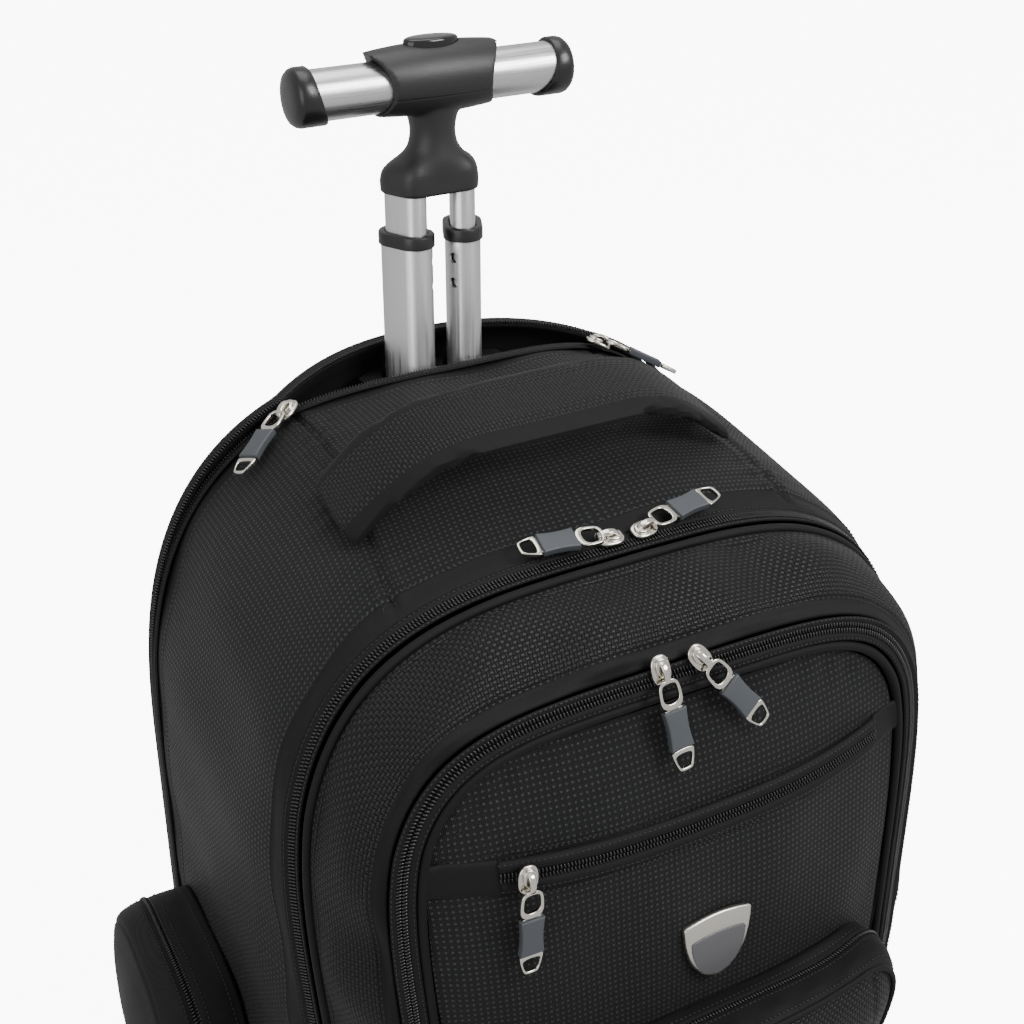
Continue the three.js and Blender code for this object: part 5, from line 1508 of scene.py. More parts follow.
class BACKPACK_OT_lower_pocket(bpy.types.Operator):
    """Build the lower front pocket with its band, zip, piping and face seams"""
    bl_idname = "backpack.lower_pocket"
    bl_label = "Lower pocket"

    def execute(self, context):
        cloth = context.scene.backpack_cloth
        columns, rows = 380, 80
        x0, z0 = rounded_outline(LOWER_HALF, LOWER_FLOOR, LOWER_TOP, LOWER_CORNER, columns)
        t, size, out = bulge(rows)
        middle = (LOWER_FLOOR + LOWER_TOP) / 2
        x = x0[None, :] * size[:, None]
        z = middle + (z0[None, :] - middle) * size[:, None]
        crown = np.where(out > 0.6, LOWER_CROWN * (1 - size ** 2), 0) * smooth((out - 0.6) / 0.3)
        y = pocket_face(x, z) - 1.5 - (out * LOWER_DEPTH + crown)[:, None]
        points = leaned(np.stack([x, y, z], -1))
        surface = outward_surface(points, np.array([0.0, -1.0, 0.0]))
        if surface.normals[-10, 0, 1] > 0:
            surface = Surface(points, wrap=True, outward=-1)
        fade = smooth((t - 0.02) / 0.08)[:, None]
        around = np.arange(columns) * 1.9
        height = cloth.wrinkle * 1000 * 0.8 * undulation(x, z, 70, 41) * fade
        height = height + 0.4 * np.sin(around * 0.21)[None, :] * groove(t - 0.33, 0.08)[:, None]
        height = height - 1.1 * groove(t - 0.13, 0.018)[:, None] - 1.0 * groove(t - 0.49, 0.010)[:, None]
        seams = groove(np.abs(x) - 94.0, 1.2) * smooth((t - 0.5) / 0.02)[:, None]
        surface.push(height - 1.0 * seams)
        lining = surface.points[::-1][::4] - surface.normals[::-1][::4] * CLOTH_WALL * 0.8
        grid = np.concatenate([lining, surface.points])
        first = len(lining)
        arc_u = np.broadcast_to(around, x.shape)
        depth = np.cumsum(np.linalg.norm(np.diff(points, axis=0, prepend=points[:1]), axis=2).mean(axis=1))
        face_share = smooth((t - 0.40) / 0.01)[:, None] > 0.5
        uv = np.stack([np.where(face_share, x, arc_u), np.where(face_share, z, depth[:, None])], -1)
        uv = np.concatenate([uv[::-1][::4], uv])
        edge_row = int(np.searchsorted(t, 0.485))

        def pick(row, place, centre):
            return np.where(row >= first + edge_row, 1, 0)

        obj = grid_body("lower_pocket_cloth", grid, [materials("zip_tape"), materials("ballistic_nylon")],
                        wrap_columns=True, capped=True, uv=uv, pick=pick)
        finish_piece(obj, ["lower_pocket"])
        places = np.arange(0, columns, 0.5)
        row_of = lambda share: share * (rows - 1)
        cord, _ = surface.at(np.full(columns, row_of(0.47)), np.arange(columns), 0.4)
        grid = tube_grid(cord, 1.5, 10, closed=True)
        cord = grid_body("lower_pocket_piping", grid, [materials("zip_tape")],
                         wrap_columns=True, wrap_rows=True)
        finish_piece(cord)
        line, outs = surface.at(np.full(len(places), row_of(0.13)), places, 0.7)
        ahead, _ = surface.at(np.full(len(places), row_of(0.15)), places, 0.7)
        finish_piece(teeth("lower_pocket_coil", line, unit(ahead - line), outs, closed=True))
        chains = [surface.at(np.full(len(places), row_of(share)), places, 0.15)
                  for share in (0.07, 0.2, 0.40)]
        finish_piece(stitches("lower_pocket_stitches", chains, closed=True, pitch=0.85))
        return {"FINISHED"}


class BACKPACK_OT_side_pockets(bpy.types.Operator):
    """Build the bulging side pockets with their bands and zips"""
    bl_idname = "backpack.side_pockets"
    bl_label = "Side pockets"

    def execute(self, context):
        for side, name in ((-1, "left"), (1, "right")):
            self.pocket(context, side, name)
        return {"FINISHED"}

    def pocket(self, context, side, name):
        cloth = context.scene.backpack_cloth
        columns, rows = 260, 70
        turn = np.linspace(0, 2 * math.pi, 2000, endpoint=False)
        ys, zs = signed_power(np.cos(turn), 0.75), signed_power(np.sin(turn), 0.75)
        length = np.concatenate([[0], np.cumsum(np.hypot(np.diff(ys * SIDE_HALF), np.diff(zs * 50)))])
        turn = np.interp(np.linspace(0, length[-1], columns, endpoint=False), length, turn)
        ys, zs = signed_power(np.cos(turn), 0.75), signed_power(np.sin(turn), 0.75)
        t, size, out = bulge(rows)
        middle, reach = (SIDE_TOP + SIDE_FLOOR) / 2, (SIDE_TOP - SIDE_FLOOR) / 2
        y = SIDE_Y + ys[None, :] * SIDE_HALF * size[:, None]
        z = middle + zs[None, :] * reach * size[:, None]
        rim = main_section(depth_at(y, z)).half + 0.9
        crown = SIDE_CROWN * (1 - size ** 2) * smooth((out - 0.6) / 0.3)
        x = side * (rim + (out * SIDE_DEPTH + crown)[:, None])
        points = leaned(np.stack([x, y, z], -1))
        surface = outward_surface(points, np.array([float(side), 0.0, 0.0]))
        if surface.normals[-10, 0, 0] * side < 0:
            surface = Surface(points, wrap=True, outward=-1)
        height = cloth.wrinkle * 1000 * undulation(y, z, 60, 51) * smooth((t - 0.02) / 0.08)[:, None]
        height = height - 1.2 * groove(t - 0.25, 0.016)[:, None] - 0.9 * groove(t - 0.5, 0.012)[:, None]
        surface.push(height)
        lining = surface.points[::-1][::4] - surface.normals[::-1][::4] * CLOTH_WALL * 0.8
        grid = np.concatenate([lining, surface.points])
        first = len(lining)
        around = np.arange(columns) * 1.25
        depth = np.cumsum(np.linalg.norm(np.diff(points, axis=0, prepend=points[:1]), axis=2).mean(axis=1))
        on_face = (t > 0.3)[:, None]
        across = np.where(on_face, y, np.broadcast_to(around, y.shape))
        uv = np.stack([across, np.where(on_face, z, depth[:, None])], -1)
        uv = np.concatenate([uv[::-1][::4], uv])
        edge_row = int(np.searchsorted(t, 0.31))
        obj = grid_body("side_pocket_cloth_" + name, grid, [materials("zip_tape"), materials("fine_nylon")],
                        wrap_columns=True, capped=True, uv=uv,
                        pick=lambda row, place, centre: np.where(row >= first + edge_row, 1, 0))
        finish_piece(obj, ["side_pocket_" + name])
        places = np.arange(0, columns, 0.5)
        row_of = lambda share: share * (rows - 1)
        line, outs = surface.at(np.full(len(places), row_of(0.25)), places, 0.8)
        ahead, _ = surface.at(np.full(len(places), row_of(0.27)), places, 0.8)
        finish_piece(teeth("side_pocket_coil_" + name, line, unit(ahead - line), outs, closed=True))
        chains = [surface.at(np.full(len(places), row_of(share)), places, 0.15)
                  for share in (0.19, 0.31, 0.05)]
        finish_piece(stitches("side_pocket_stitches_" + name, chains, closed=True, pitch=0.85))


def closed_band(name, path, across, width, thickness, profile, mats, pick=None):
    """A band swept along a path, with its ends rounded off."""
    grid = swept_band(path, across, width, thickness, profile)
    caps = []
    for end, near in ((0, 1), (-1, -2)):
        middle = grid[end].mean(axis=0)
        step = unit(grid[end].mean(axis=0) - grid[near].mean(axis=0))
        caps.append([mix(middle, grid[end], size) + step * rise for size, rise in ((0.9, 0.7), (0.4, 1.0))])
    grid = np.concatenate([np.array(caps[0][::-1]), grid, np.array(caps[1])])
    return grid_body(name, grid, mats, wrap_columns=True, capped=True, pick=pick), grid


def puffed(obj, cap, pressure=4.0, voxel=0.0045):
    """A padded piece filled by cloth simulation: every point moves out by no more than cap, in metres."""
    rest = obj.copy()
    rest.data = obj.data.copy()
    bpy.context.scene.collection.objects.link(rest)
    remesh = rest.modifiers.new("voxels", "REMESH")
    remesh.mode = "VOXEL"
    remesh.voxel_size = voxel
    apply_modifiers(rest)
    before = np.empty(len(rest.data.vertices) * 3)
    rest.data.vertices.foreach_get("co", before)
    cloth = rest.modifiers.new("fill", "CLOTH")
    cloth.settings.use_pressure = True
    cloth.settings.uniform_pressure_force = pressure
    cloth.settings.effector_weights.gravity = 0
    cloth.settings.quality = 5
    scene = bpy.context.scene
    for step in range(1, 21):
        scene.frame_set(step)
    evaluated = rest.evaluated_get(bpy.context.evaluated_depsgraph_get())
    after = np.empty(len(before))
    evaluated.data.vertices.foreach_get("co", after)
    scene.frame_set(1)
    rest.modifiers.clear()
    move = (after - before).reshape(-1, 3)
    length = np.linalg.norm(move, axis=1, keepdims=True)
    move = move * np.minimum(1, cap / np.maximum(length, 1e-9))
    rest.data.vertices.foreach_set("co", (before.reshape(-1, 3) + move).ravel())
    wrap = obj.modifiers.new("follow", "SHRINKWRAP")
    wrap.target = rest
    wrap.wrap_method = "NEAREST_SURFACEPOINT"
    apply_modifiers(obj)
    soften = obj.modifiers.new("soften", "SMOOTH")
    soften.iterations = 4
    soften.factor = 0.4
    apply_modifiers(obj)
    bpy.data.objects.remove(rest)
    return obj


class BACKPACK_OT_carry_handle(bpy.types.Operator):
    """Build the padded carry handle with its bindings"""
    bl_idname = "backpack.carry_handle"
    bl_label = "Carry handle"

    def execute(self, context):
        steps = 150
        x = CARRY_X + np.linspace(-CARRY_REACH, CARRY_REACH, steps)
        share = (x - CARRY_X) / CARRY_REACH
        y = CARRY_Y - CARRY_FORWARD * np.maximum(0, 1 - share ** 2)
        lift = CARRY_LIFT * np.maximum(0, 1 - share ** 4) ** 1.5
        path = np.stack([x, y, body_height(x, y) + 4.6 + lift], -1)
        reach = CARRY_WIDTH / 2
        slope = body_height(x, y + reach) - body_height(x, y - reach)
        across = unit(np.stack([np.zeros_like(x), np.full_like(x, CARRY_WIDTH), slope], -1))
        count = 72
        profile = round_profile(count)
        wide = profile[:, 0]
        crown = 0.16 * (1 - (wide / 0.5) ** 4)
        profile[:, 1] = profile[:, 1] * (0.80 + crown)
        edge = groove(np.abs(wide) - HANDLE_BINDING, 0.018)
        profile[:, 1] = profile[:, 1] * (1 - 0.22 * edge)

        def pick(row, place, centre):
            middle = (wide[place] + wide[(place + 1) % count]) / 2
            return np.where(np.abs(middle) > HANDLE_BINDING, 1, 0)

        cloths = [materials("ballistic_nylon"), materials("zip_tape")]
        obj, _ = closed_band("carry_handle_cloth", leaned(path), across, CARRY_WIDTH, CARRY_THICKNESS,
                             profile, cloths, pick)
        puffed(obj, 0.0012)
        finish_piece(obj, ["carry_handle"])
        chains = []
        along = unit(np.gradient(leaned(path), axis=0))
        out = unit(np.cross(along, across))
        out = out * np.sign(out[:, 2:3])
        for shift in (HANDLE_BINDING + 0.02, -HANDLE_BINDING - 0.02):
            line = leaned(path) + across * CARRY_WIDTH * shift + out * (CARRY_THICKNESS * 0.43)
            chains.append((line[3:-3], out[3:-3]))
        finish_piece(stitches("carry_handle_stitches", chains))
        return {"FINISHED"}



class BACKPACK_OT_back(bpy.types.Operator):
    """Build the padded back panel, the shoulder straps and their webbing"""
    bl_idname = "backpack.back"
    bl_label = "Back panel and straps"

    def execute(self, context):
        self.panel(context)
        for side, name in ((-1, "left"), (1, "right")):
            self.strap(side, name)
        return {"FINISHED"}

    def panel(self, context):
        columns, rows = 300, 60
        q = even_q(columns)
        t = np.linspace(1, 0.02, rows)[:, None]
        x0, z0 = arch(PAD, 0, q)
        middle = (PAD.top + PAD.floor) / 2
        x = x0[None, :] * t
        z = middle + (z0[None, :] - middle) * t
        channels = groove(x - 0, 7) * 3.0 + groove(z - 330, 6) * 2.4 + groove(z - 225, 6) * 2.4
        channels = channels * smooth((1 - t) / 0.2)
        y = pad_surface(x, z) - channels
        front = np.stack([x0, back_y(x0) + 0.9, z0], -1)[None]
        flat = np.stack(np.broadcast_arrays(x[::-6], back_y(x[::-6]) + 0.9, z[::-6]), -1)
        edge = np.stack([x0 * 1.0, back_y(x0) + 2.6, z0], -1)[None]
        grid = np.concatenate([flat, front, edge, np.stack([x, y, z], -1)])
        uv = np.stack([grid[..., 0], grid[..., 2]], -1)
        first = len(flat) + 2
        obj = grid_body("back_panel_cloth", leaned(grid), [materials("padded_mesh"), materials("zip_tape")],
                        wrap_columns=True, capped=True, uv=uv,
                        pick=lambda row, place, centre: np.where((row < first + 3), 1, 0))
        finish_piece(obj, ["back_panel"])

    def strap(self, side, name):
        t = np.linspace(0, 1, 110)
        x = side * (STRAP_TOP_X + STRAP_SPREAD * t ** 1.3)
        z = mix(STRAP_TOP, STRAP_FOOT, t)
        bulge_out = STRAP_BULGE * np.sin(math.pi * t) ** 1.1
        path = np.stack([x, pad_under(x, z, STRAP_WIDTH) + STRAP_SEAT + bulge_out, z], -1)
        width = STRAP_WIDTH * (1 - 0.25 * t ** 2)
        count = 64
        profile = round_profile(count)
        wide = profile[:, 0]
        profile[:, 1] = profile[:, 1] * (0.82 + 0.16 * (1 - (wide / 0.5) ** 4))
        profile[:, 1] = profile[:, 1] * (1 - 0.3 * groove(np.abs(wide) - 0.40, 0.016))

        def pick(row, place, centre):
            middle = (wide[place] + wide[(place + 1) % count]) / 2
            return np.where(np.abs(middle) > 0.40, 1, 0)

        across = np.broadcast_to([1.0, 0.0, 0.0], path.shape)
        obj, _ = closed_band("shoulder_strap_cloth_" + name, path, across, width, STRAP_THICKNESS, profile,
                             [materials("padded_mesh"), materials("zip_tape")], pick)
        puffed(obj, 0.0015)
        finish_piece(obj, ["shoulder_strap_" + name])
        start = STRAP_TOP_X + STRAP_SPREAD
        t = np.linspace(0, 1, 40)
        x = side * mix(start, start + 14, t)
        z = mix(STRAP_FOOT - GAP, WEBBING_FOOT, t)
        path = np.stack([x, pad_under(x, z, WEBBING_WIDTH) + WEBBING_THICKNESS / 2 + 0.9, z], -1)
        across = np.broadcast_to([1.0, 0.0, 0.0], path.shape)
        web, _ = closed_band("strap_webbing_cloth_" + name, path, across, WEBBING_WIDTH, WEBBING_THICKNESS,
                             round_profile(24), [materials("webbing")])
        finish_piece(web, ["strap_webbing_" + name])


# Hard parts

def lathe(name, profile, centre, count, mats, pick=None):
    """A profile of (radius, place) turned about the X axis, with its centre in source millimetres."""
    profile = np.array(profile, dtype=float)
    turn = np.linspace(0, 2 * math.pi, count, endpoint=False)
    radius, place = profile[:, 0][:, None], profile[:, 1][:, None]
    x = np.broadcast_to(place, (len(profile), count)) + centre[0]
    y = radius * np.cos(turn) + centre[1]
    z = radius * np.sin(turn) + centre[2]
    return grid_body(name, np.stack([x, y, z], -1), mats, wrap_columns=True, wrap_rows=True, pick=pick)


def plate(name, outline, holes, z0, z1, bevel, material, matrix):
    """A flat plate with round edges, from outlines in local millimetres, moved by a matrix."""
    curve = bpy.data.curves.new(name, "CURVE")
    curve.dimensions = "2D"
    curve.fill_mode = "BOTH"
    curve.extrude = (z1 - z0) / 2 - bevel
    curve.bevel_depth = bevel
    curve.bevel_resolution = 3
    curve.offset = -bevel
    for ring in [outline, *holes]:
        spline = curve.splines.new("POLY")
        spline.points.add(len(ring) - 1)
        for point, (x, y) in zip(spline.points, ring):
            point.co = (x, y, 0, 1)
        spline.use_cyclic_u = True
    obj = bpy.data.objects.new(name, curve)
    bpy.context.scene.collection.objects.link(obj)
    graph = bpy.context.evaluated_depsgraph_get()
    graph.update()
    mesh = bpy.data.meshes.new_from_object(obj.evaluated_get(graph))
    bpy.data.objects.remove(obj)
    mesh.transform(Matrix.Translation((0, 0, (z0 + z1) / 2)))
    mesh.transform(matrix)
    mesh.transform(Matrix.Scale(0.001, 4) @ Matrix.Translation(Vector(OFFSET)))
    mesh.materials.clear()
    mesh.materials.append(materials(material))
    result = bpy.data.objects.new(name, mesh)
    bpy.context.scene.collection.objects.link(result)
    work = bmesh.new()
    work.from_mesh(mesh)
    bmesh.ops.remove_doubles(work, verts=work.verts, dist=0.00001)
    bmesh.ops.recalc_face_normals(work, faces=work.faces)
    work.to_mesh(mesh)
    work.free()
    mesh.polygons.foreach_set("use_smooth", np.full(len(mesh.polygons), True))
    return crisp(result, 40)


def smooth_ring(points, rounds=2):
    """A closed outline with its corners rounded."""
    ring = np.array(points, dtype=float)
    for _ in range(rounds):
        after = np.roll(ring, -1, axis=0)
        ring = np.stack([mix(ring, after, 0.25), mix(ring, after, 0.75)], 1).reshape(-1, 2)
    return [tuple(point) for point in ring]


def oval(cx, half_x, half_y, power=1.0, count=40):
    turn = np.linspace(0, 2 * math.pi, count, endpoint=False)
    x = cx + half_x * signed_power(np.cos(turn), power)
    return list(zip(x, half_y * signed_power(np.sin(turn), power)))


def pull_basis(at, to, out):
    at, to = np.array(at, dtype=float), np.array(to, dtype=float)
    along = unit(to - at)
    across = unit(np.cross(out, along))
    off = unit(np.cross(along, across))
    origin = leaned(at[None])[0]
    return Matrix([[along[i], across[i], off[i], origin[i]] for i in range(3)] + [[0, 0, 0, 1]])


def pull_places():
    """Each pull's slider, the place that its loop points to and the way off the cloth, in millimetres."""
    stand = 6.0
    places = {}
    for side, name in ((-1, "rear_left"), (1, "rear_right")):
        x0, x1 = side * SLIT_HALF, side * (SLIT_HALF + 35)
        z0 = float(body_height(np.array(x0), np.array(84.0))) + stand + 1.8
        z1 = float(body_height(np.array(x1), np.array(60.0))) + stand + 1.8
        places[name] = ((x0, 84.0, z0), (x1, 60.0, z1), (side * 0.6, 0, 1))
    main_pulls = (("main_left", -1, -54, 5, -2.5, 3), ("main_right", 19, 40, 7, -2.9, 2.6))
    for name, x, reach, fore, lift, tip in main_pulls:
        top = [float(body_height(np.array(float(at)), np.array(MAIN_ZIP_Y + 1))) + stand + lift
               for at in (x, x + reach)]
        start = MAIN_ZIP_Y - 3
        places[name] = ((x, start, top[0]), (x + reach, start + fore, top[1] + tip), (0, -0.35, 1))
    for name, x, reach in (("pocket_left", -11, 4), ("pocket_right", 10, 36)):
        z, low, tip = 381.0, 335.0, x + reach
        places[name] = ((x, pocket_plane(z) - stand + 2.6, z),
                        (tip, float(pocket_face(tip, low)) - stand + 1, low), (0, -1, 0.3))
    places["welt"] = ((-89, float(pocket_face(-89, 311)) - stand - 2.4, 311),
                      (-91, float(pocket_face(-89, 265)) - stand + 2, 265), (0, -1, 0.2))
    face = lambda z: float(pocket_face(-14, z)) - 1.5 - LOWER_DEPTH - LOWER_CROWN * 0.5
    places["lower"] = ((-14, face(196) - stand + 0.8, 196), (-8, face(150) - stand, 150), (0, -1, 0.2))
    return places


class BACKPACK_OT_pulls(bpy.types.Operator):
    """Build the eight zip pulls: slider, bail, metal frame, rubber insert and loop"""
    bl_idname = "backpack.pulls"
    bl_label = "Zip pulls"

    def execute(self, context):
        for name, (at, to, out) in pull_places().items():
            self.pull(name, pull_basis(at, to, out))
        return {"FINISHED"}

    def pull(self, name, basis):
        slider = plate("slider", oval(-0.5, 7.2, 5.0, 0.8), [], -3.6, -1.3, 0.9, "nickel", basis)
        nose = plate("nose", oval(-2.2, 4.2, 3.4, 0.9), [], -1.6, 0.2, 0.7, "nickel", basis)
        bail = self.arc("bail", basis)
        head = smooth_ring([(3.4, -3.6), (3.0, 0), (3.4, 3.6), (6.6, 5.75),
                            (17.2, 5.75), (17.2, -5.75), (6.6, -5.75)])
        window = smooth_ring([(5.0, -3.0), (5.0, 3.0), (7.2, 4.1), (14.2, 4.2), (14.2, -4.2), (7.2, -4.1)])
        frame_part = plate("frame", head, [window], 0.0, 2.2, 0.5, "nickel", basis)
        loop = smooth_ring([(35.6, -5.75), (35.6, 5.75), (38.5, 5.75), (44.8, 3.9), (46, 2.6), (46, -2.6),
                            (44.8, -3.9), (38.5, -5.75)])
        gap = smooth_ring([(37.9, -4.4), (37.9, 4.4), (41.0, 4.1), (44.2, 2.9), (44.6, 1.4), (44.6, -1.4),
                           (44.2, -2.9), (41.0, -4.1)])
        loop_part = plate("loop", loop, [gap], 0.0, 2.2, 0.5, "nickel", basis)
        middle = [(16.8, -4.6), (36.0, -4.6), (36.0, 4.6), (16.8, 4.6)]
        core = plate("core", middle, [], 0.3, 1.7, 0.2, "nickel", basis)
        metal_part = join_into(slider, [nose, bail, frame_part, loop_part, core])
        metal_part.name = "pull_metal_" + name
        finish_piece(metal_part, ["pull_" + name])
        t = np.linspace(0, 1, 16)
        waist = 5.9 - 0.75 * np.sin(math.pi * t)
        edge = list(zip(mix(17.3, 35.5, t), waist))
        outline = edge + [(x, -y) for x, y in reversed(edge)]
        rubber = plate("pull_rubber_" + name, outline, [], -0.5, 3.3, 0.7, "grip_rubber", basis)
        finish_piece(rubber, ["pull_grip_" + name])

    @staticmethod
    def arc(name, basis):
        """The bail: a flat bridge over the slider that holds the pull."""
        t = np.linspace(0, math.pi, 22)
        path = np.stack([0.6 + 5.2 * np.cos(t), np.zeros_like(t), -1.6 + 3.9 * np.sin(t) ** 0.8], -1)
        across = np.broadcast_to([0.0, 1.0, 0.0], path.shape)
        grid = swept_band(path, across, 3.2, 1.5, round_profile(14, 0.6))
        turn = np.array(basis.to_3x3())
        grid = grid @ turn.T + np.array(basis.translation)
        return grid_body(name, grid, [materials("nickel")], wrap_columns=True, capped=True)


def stadium(side, long, short, grow=0.0, steps=20):
    radius, straight = short / 2 + grow, (long - short) / 2
    turn = np.linspace(0, math.pi, steps)
    x = np.concatenate([radius * np.cos(turn), -radius * np.cos(turn)])
    y = np.concatenate([straight + radius * np.sin(turn), -straight - radius * np.sin(turn)])
    angle = TUBE_TURN * side
    return np.stack([side * TUBE_OFFSET + x * math.cos(angle) + y * math.sin(angle),
                     TROLLEY_Y - x * math.sin(angle) + y * math.cos(angle)], -1)


def tube_body(name, side, long, short, wall, bottom, top, material, round_edge=0.4, outer_grow=0.0):
    """A stadium tube or collar with its top edge rounded."""
    rows = [(outer_grow, bottom), (outer_grow, top - round_edge),
            (outer_grow - round_edge * 0.3, top - round_edge * 0.3),
            (outer_grow - round_edge, top), (-wall + round_edge * 0.4, top), (-wall, top - round_edge * 0.5),
            (-wall, bottom)]
    rings = []
    for grow, z in rows:
        ring = stadium(side, long, short, grow)
        rings.append(np.column_stack([ring, np.full(len(ring), z)]))
    obj = grid_body(name, np.array(rings), [materials(material)], wrap_columns=True, wrap_rows=True)
    return crisp(obj)


def boolean(obj, tools, operation="DIFFERENCE"):
    for tool in tools:
        modifier = obj.modifiers.new("cut", "BOOLEAN")
        modifier.operation = operation
        modifier.solver = "EXACT"
        modifier.object = tool
    apply_modifiers(obj)
    for tool in tools:
        bpy.data.objects.remove(tool)
    return obj


def prism(name, ring, bottom, top):
    """An upright prism from a ring of points in plan."""
    ring = np.asarray(ring, dtype=float)
    rows = np.array([np.column_stack([ring, np.full(len(ring), z)]) for z in (bottom, top)])
    return grid_body(name, rows, [], wrap_columns=True, capped=True)


def cylinder(name, radius, start, end, count=32):
    """A closed cylinder between two points."""
    start, end = np.array(start, dtype=float), np.array(end, dtype=float)
    along = unit(end - start)
    helper = np.array([0.0, 0.0, 1.0]) if abs(along[2]) < 0.9 else np.array([1.0, 0.0, 0.0])
    first = unit(np.cross(along, helper))
    second = np.cross(along, first)
    turn = np.linspace(0, 2 * math.pi, count, endpoint=False)[:, None]
    ring = radius * (np.cos(turn) * first + np.sin(turn) * second)
    return grid_body(name, np.array([start + ring, end + ring]), [], wrap_columns=True, capped=True)


class BACKPACK_OT_trolley(bpy.types.Operator):
    """Build the telescopic tubes and their collars"""
    bl_idname = "backpack.trolley"
    bl_label = "Trolley tubes"

    def execute(self, context):
        for side, name in ((-1, "left"), (1, "right")):
            sleeve = tube_body("sleeve_tube_" + name, side, SLEEVE_LONG, SLEEVE_SHORT, 2.0, 107.6, 424.0,
                               "aluminium_tube")
            finish_piece(sleeve, ["sleeve_" + name])
            middle = tube_body("middle_tube_" + name, side, MIDDLE_LONG, MIDDLE_SHORT, 1.5, 177.7,
                               MIDDLE_TOP, "aluminium_tube")
            reach = 5.3
            end_x = side * (TUBE_OFFSET - reach * math.sin(TUBE_TURN))
            end = np.array([end_x, TROLLEY_Y - reach * math.cos(TUBE_TURN), 0])
            inward = unit(np.array([[-side * 0.89, -0.45, 0.0]]))[0]
            holes = []
            for drop in LOCK_DROPS:
                centre = end + [0, 0, MIDDLE_TOP - drop]
                holes.append(cylinder("hole", LOCK_RADIUS, centre + inward * 4, centre + inward * 14))
            crisp(boolean(middle, holes), 30)
            finish_piece(middle, ["mid_tube_" + name], body="lower_stage")
            collar = tube_body("collar_ring_" + name, side, MIDDLE_LONG, MIDDLE_SHORT, 2.3, 505.0, 511.5,
                               "black_plastic",
                               round_edge=1.0, outer_grow=1.2)
            finish_piece(collar, ["collar_" + name], body="lower_stage")
            inner = tube_body("inner_tube_cover_" + name, side, INNER_LONG, INNER_SHORT, 1.2, 210.0, 540.0,
                              "aluminium_tube")
            finish_piece(inner, ["inner_tube_" + name], body="upper_stage")
        return {"FINISHED"}


# Grip sections from the skirt up to the barrel: rise is a share of the way up, wrap how closely the section
# follows the two tubes, wide and deep are shares of the skirt's size
GRIP_ROWS = [
    {"rise": -0.17, "wrap": 1.0, "wide": 1.0, "deep": 1.0},
    {"rise": 0.0, "wrap": 1.0, "wide": 1.0, "deep": 1.0},
    {"rise": 0.08, "wrap": 0.9, "wide": 0.95, "deep": 1.0},
    {"rise": 0.15, "wrap": 0.6, "wide": 0.84, "deep": 0.97},
    {"rise": 0.22, "wrap": 0.3, "wide": 0.66, "deep": 0.92},
    {"rise": 0.3, "wrap": 0.0, "wide": 0.53, "deep": 0.85},
    {"rise": 0.42, "wrap": 0.0, "wide": 0.45, "deep": 0.8},
    {"rise": 0.6, "wrap": 0.0, "wide": 0.47, "deep": 0.8},
    {"rise": 0.72, "wrap": 0.0, "wide": 0.56, "deep": 0.83},
    {"rise": 0.84, "wrap": 0.0, "wide": 0.8, "deep": 0.9},
]
SKIRT_HALF = 26.2
SKIRT_HEIGHT = 8.0
SKIRT_DEPTH = 14.5


def skirt_reach(angles):
    tubes = np.concatenate([stadium(side, INNER_LONG, INNER_SHORT, 1.8) for side in (-1, 1)]) - [0, TROLLEY_Y]
    turns = np.linspace(0, 2 * math.pi, 180, endpoint=False)
    support = (tubes[:, 0:1] * np.cos(turns) + tubes[:, 1:2] * np.sin(turns)).max(axis=0)
    facing = np.cos(turns[None, :] - angles[:, None])
    reach = np.where(facing > 0.1, support[None, :] / np.maximum(facing, 0.1), 1e9)
    return reach.min(axis=1)


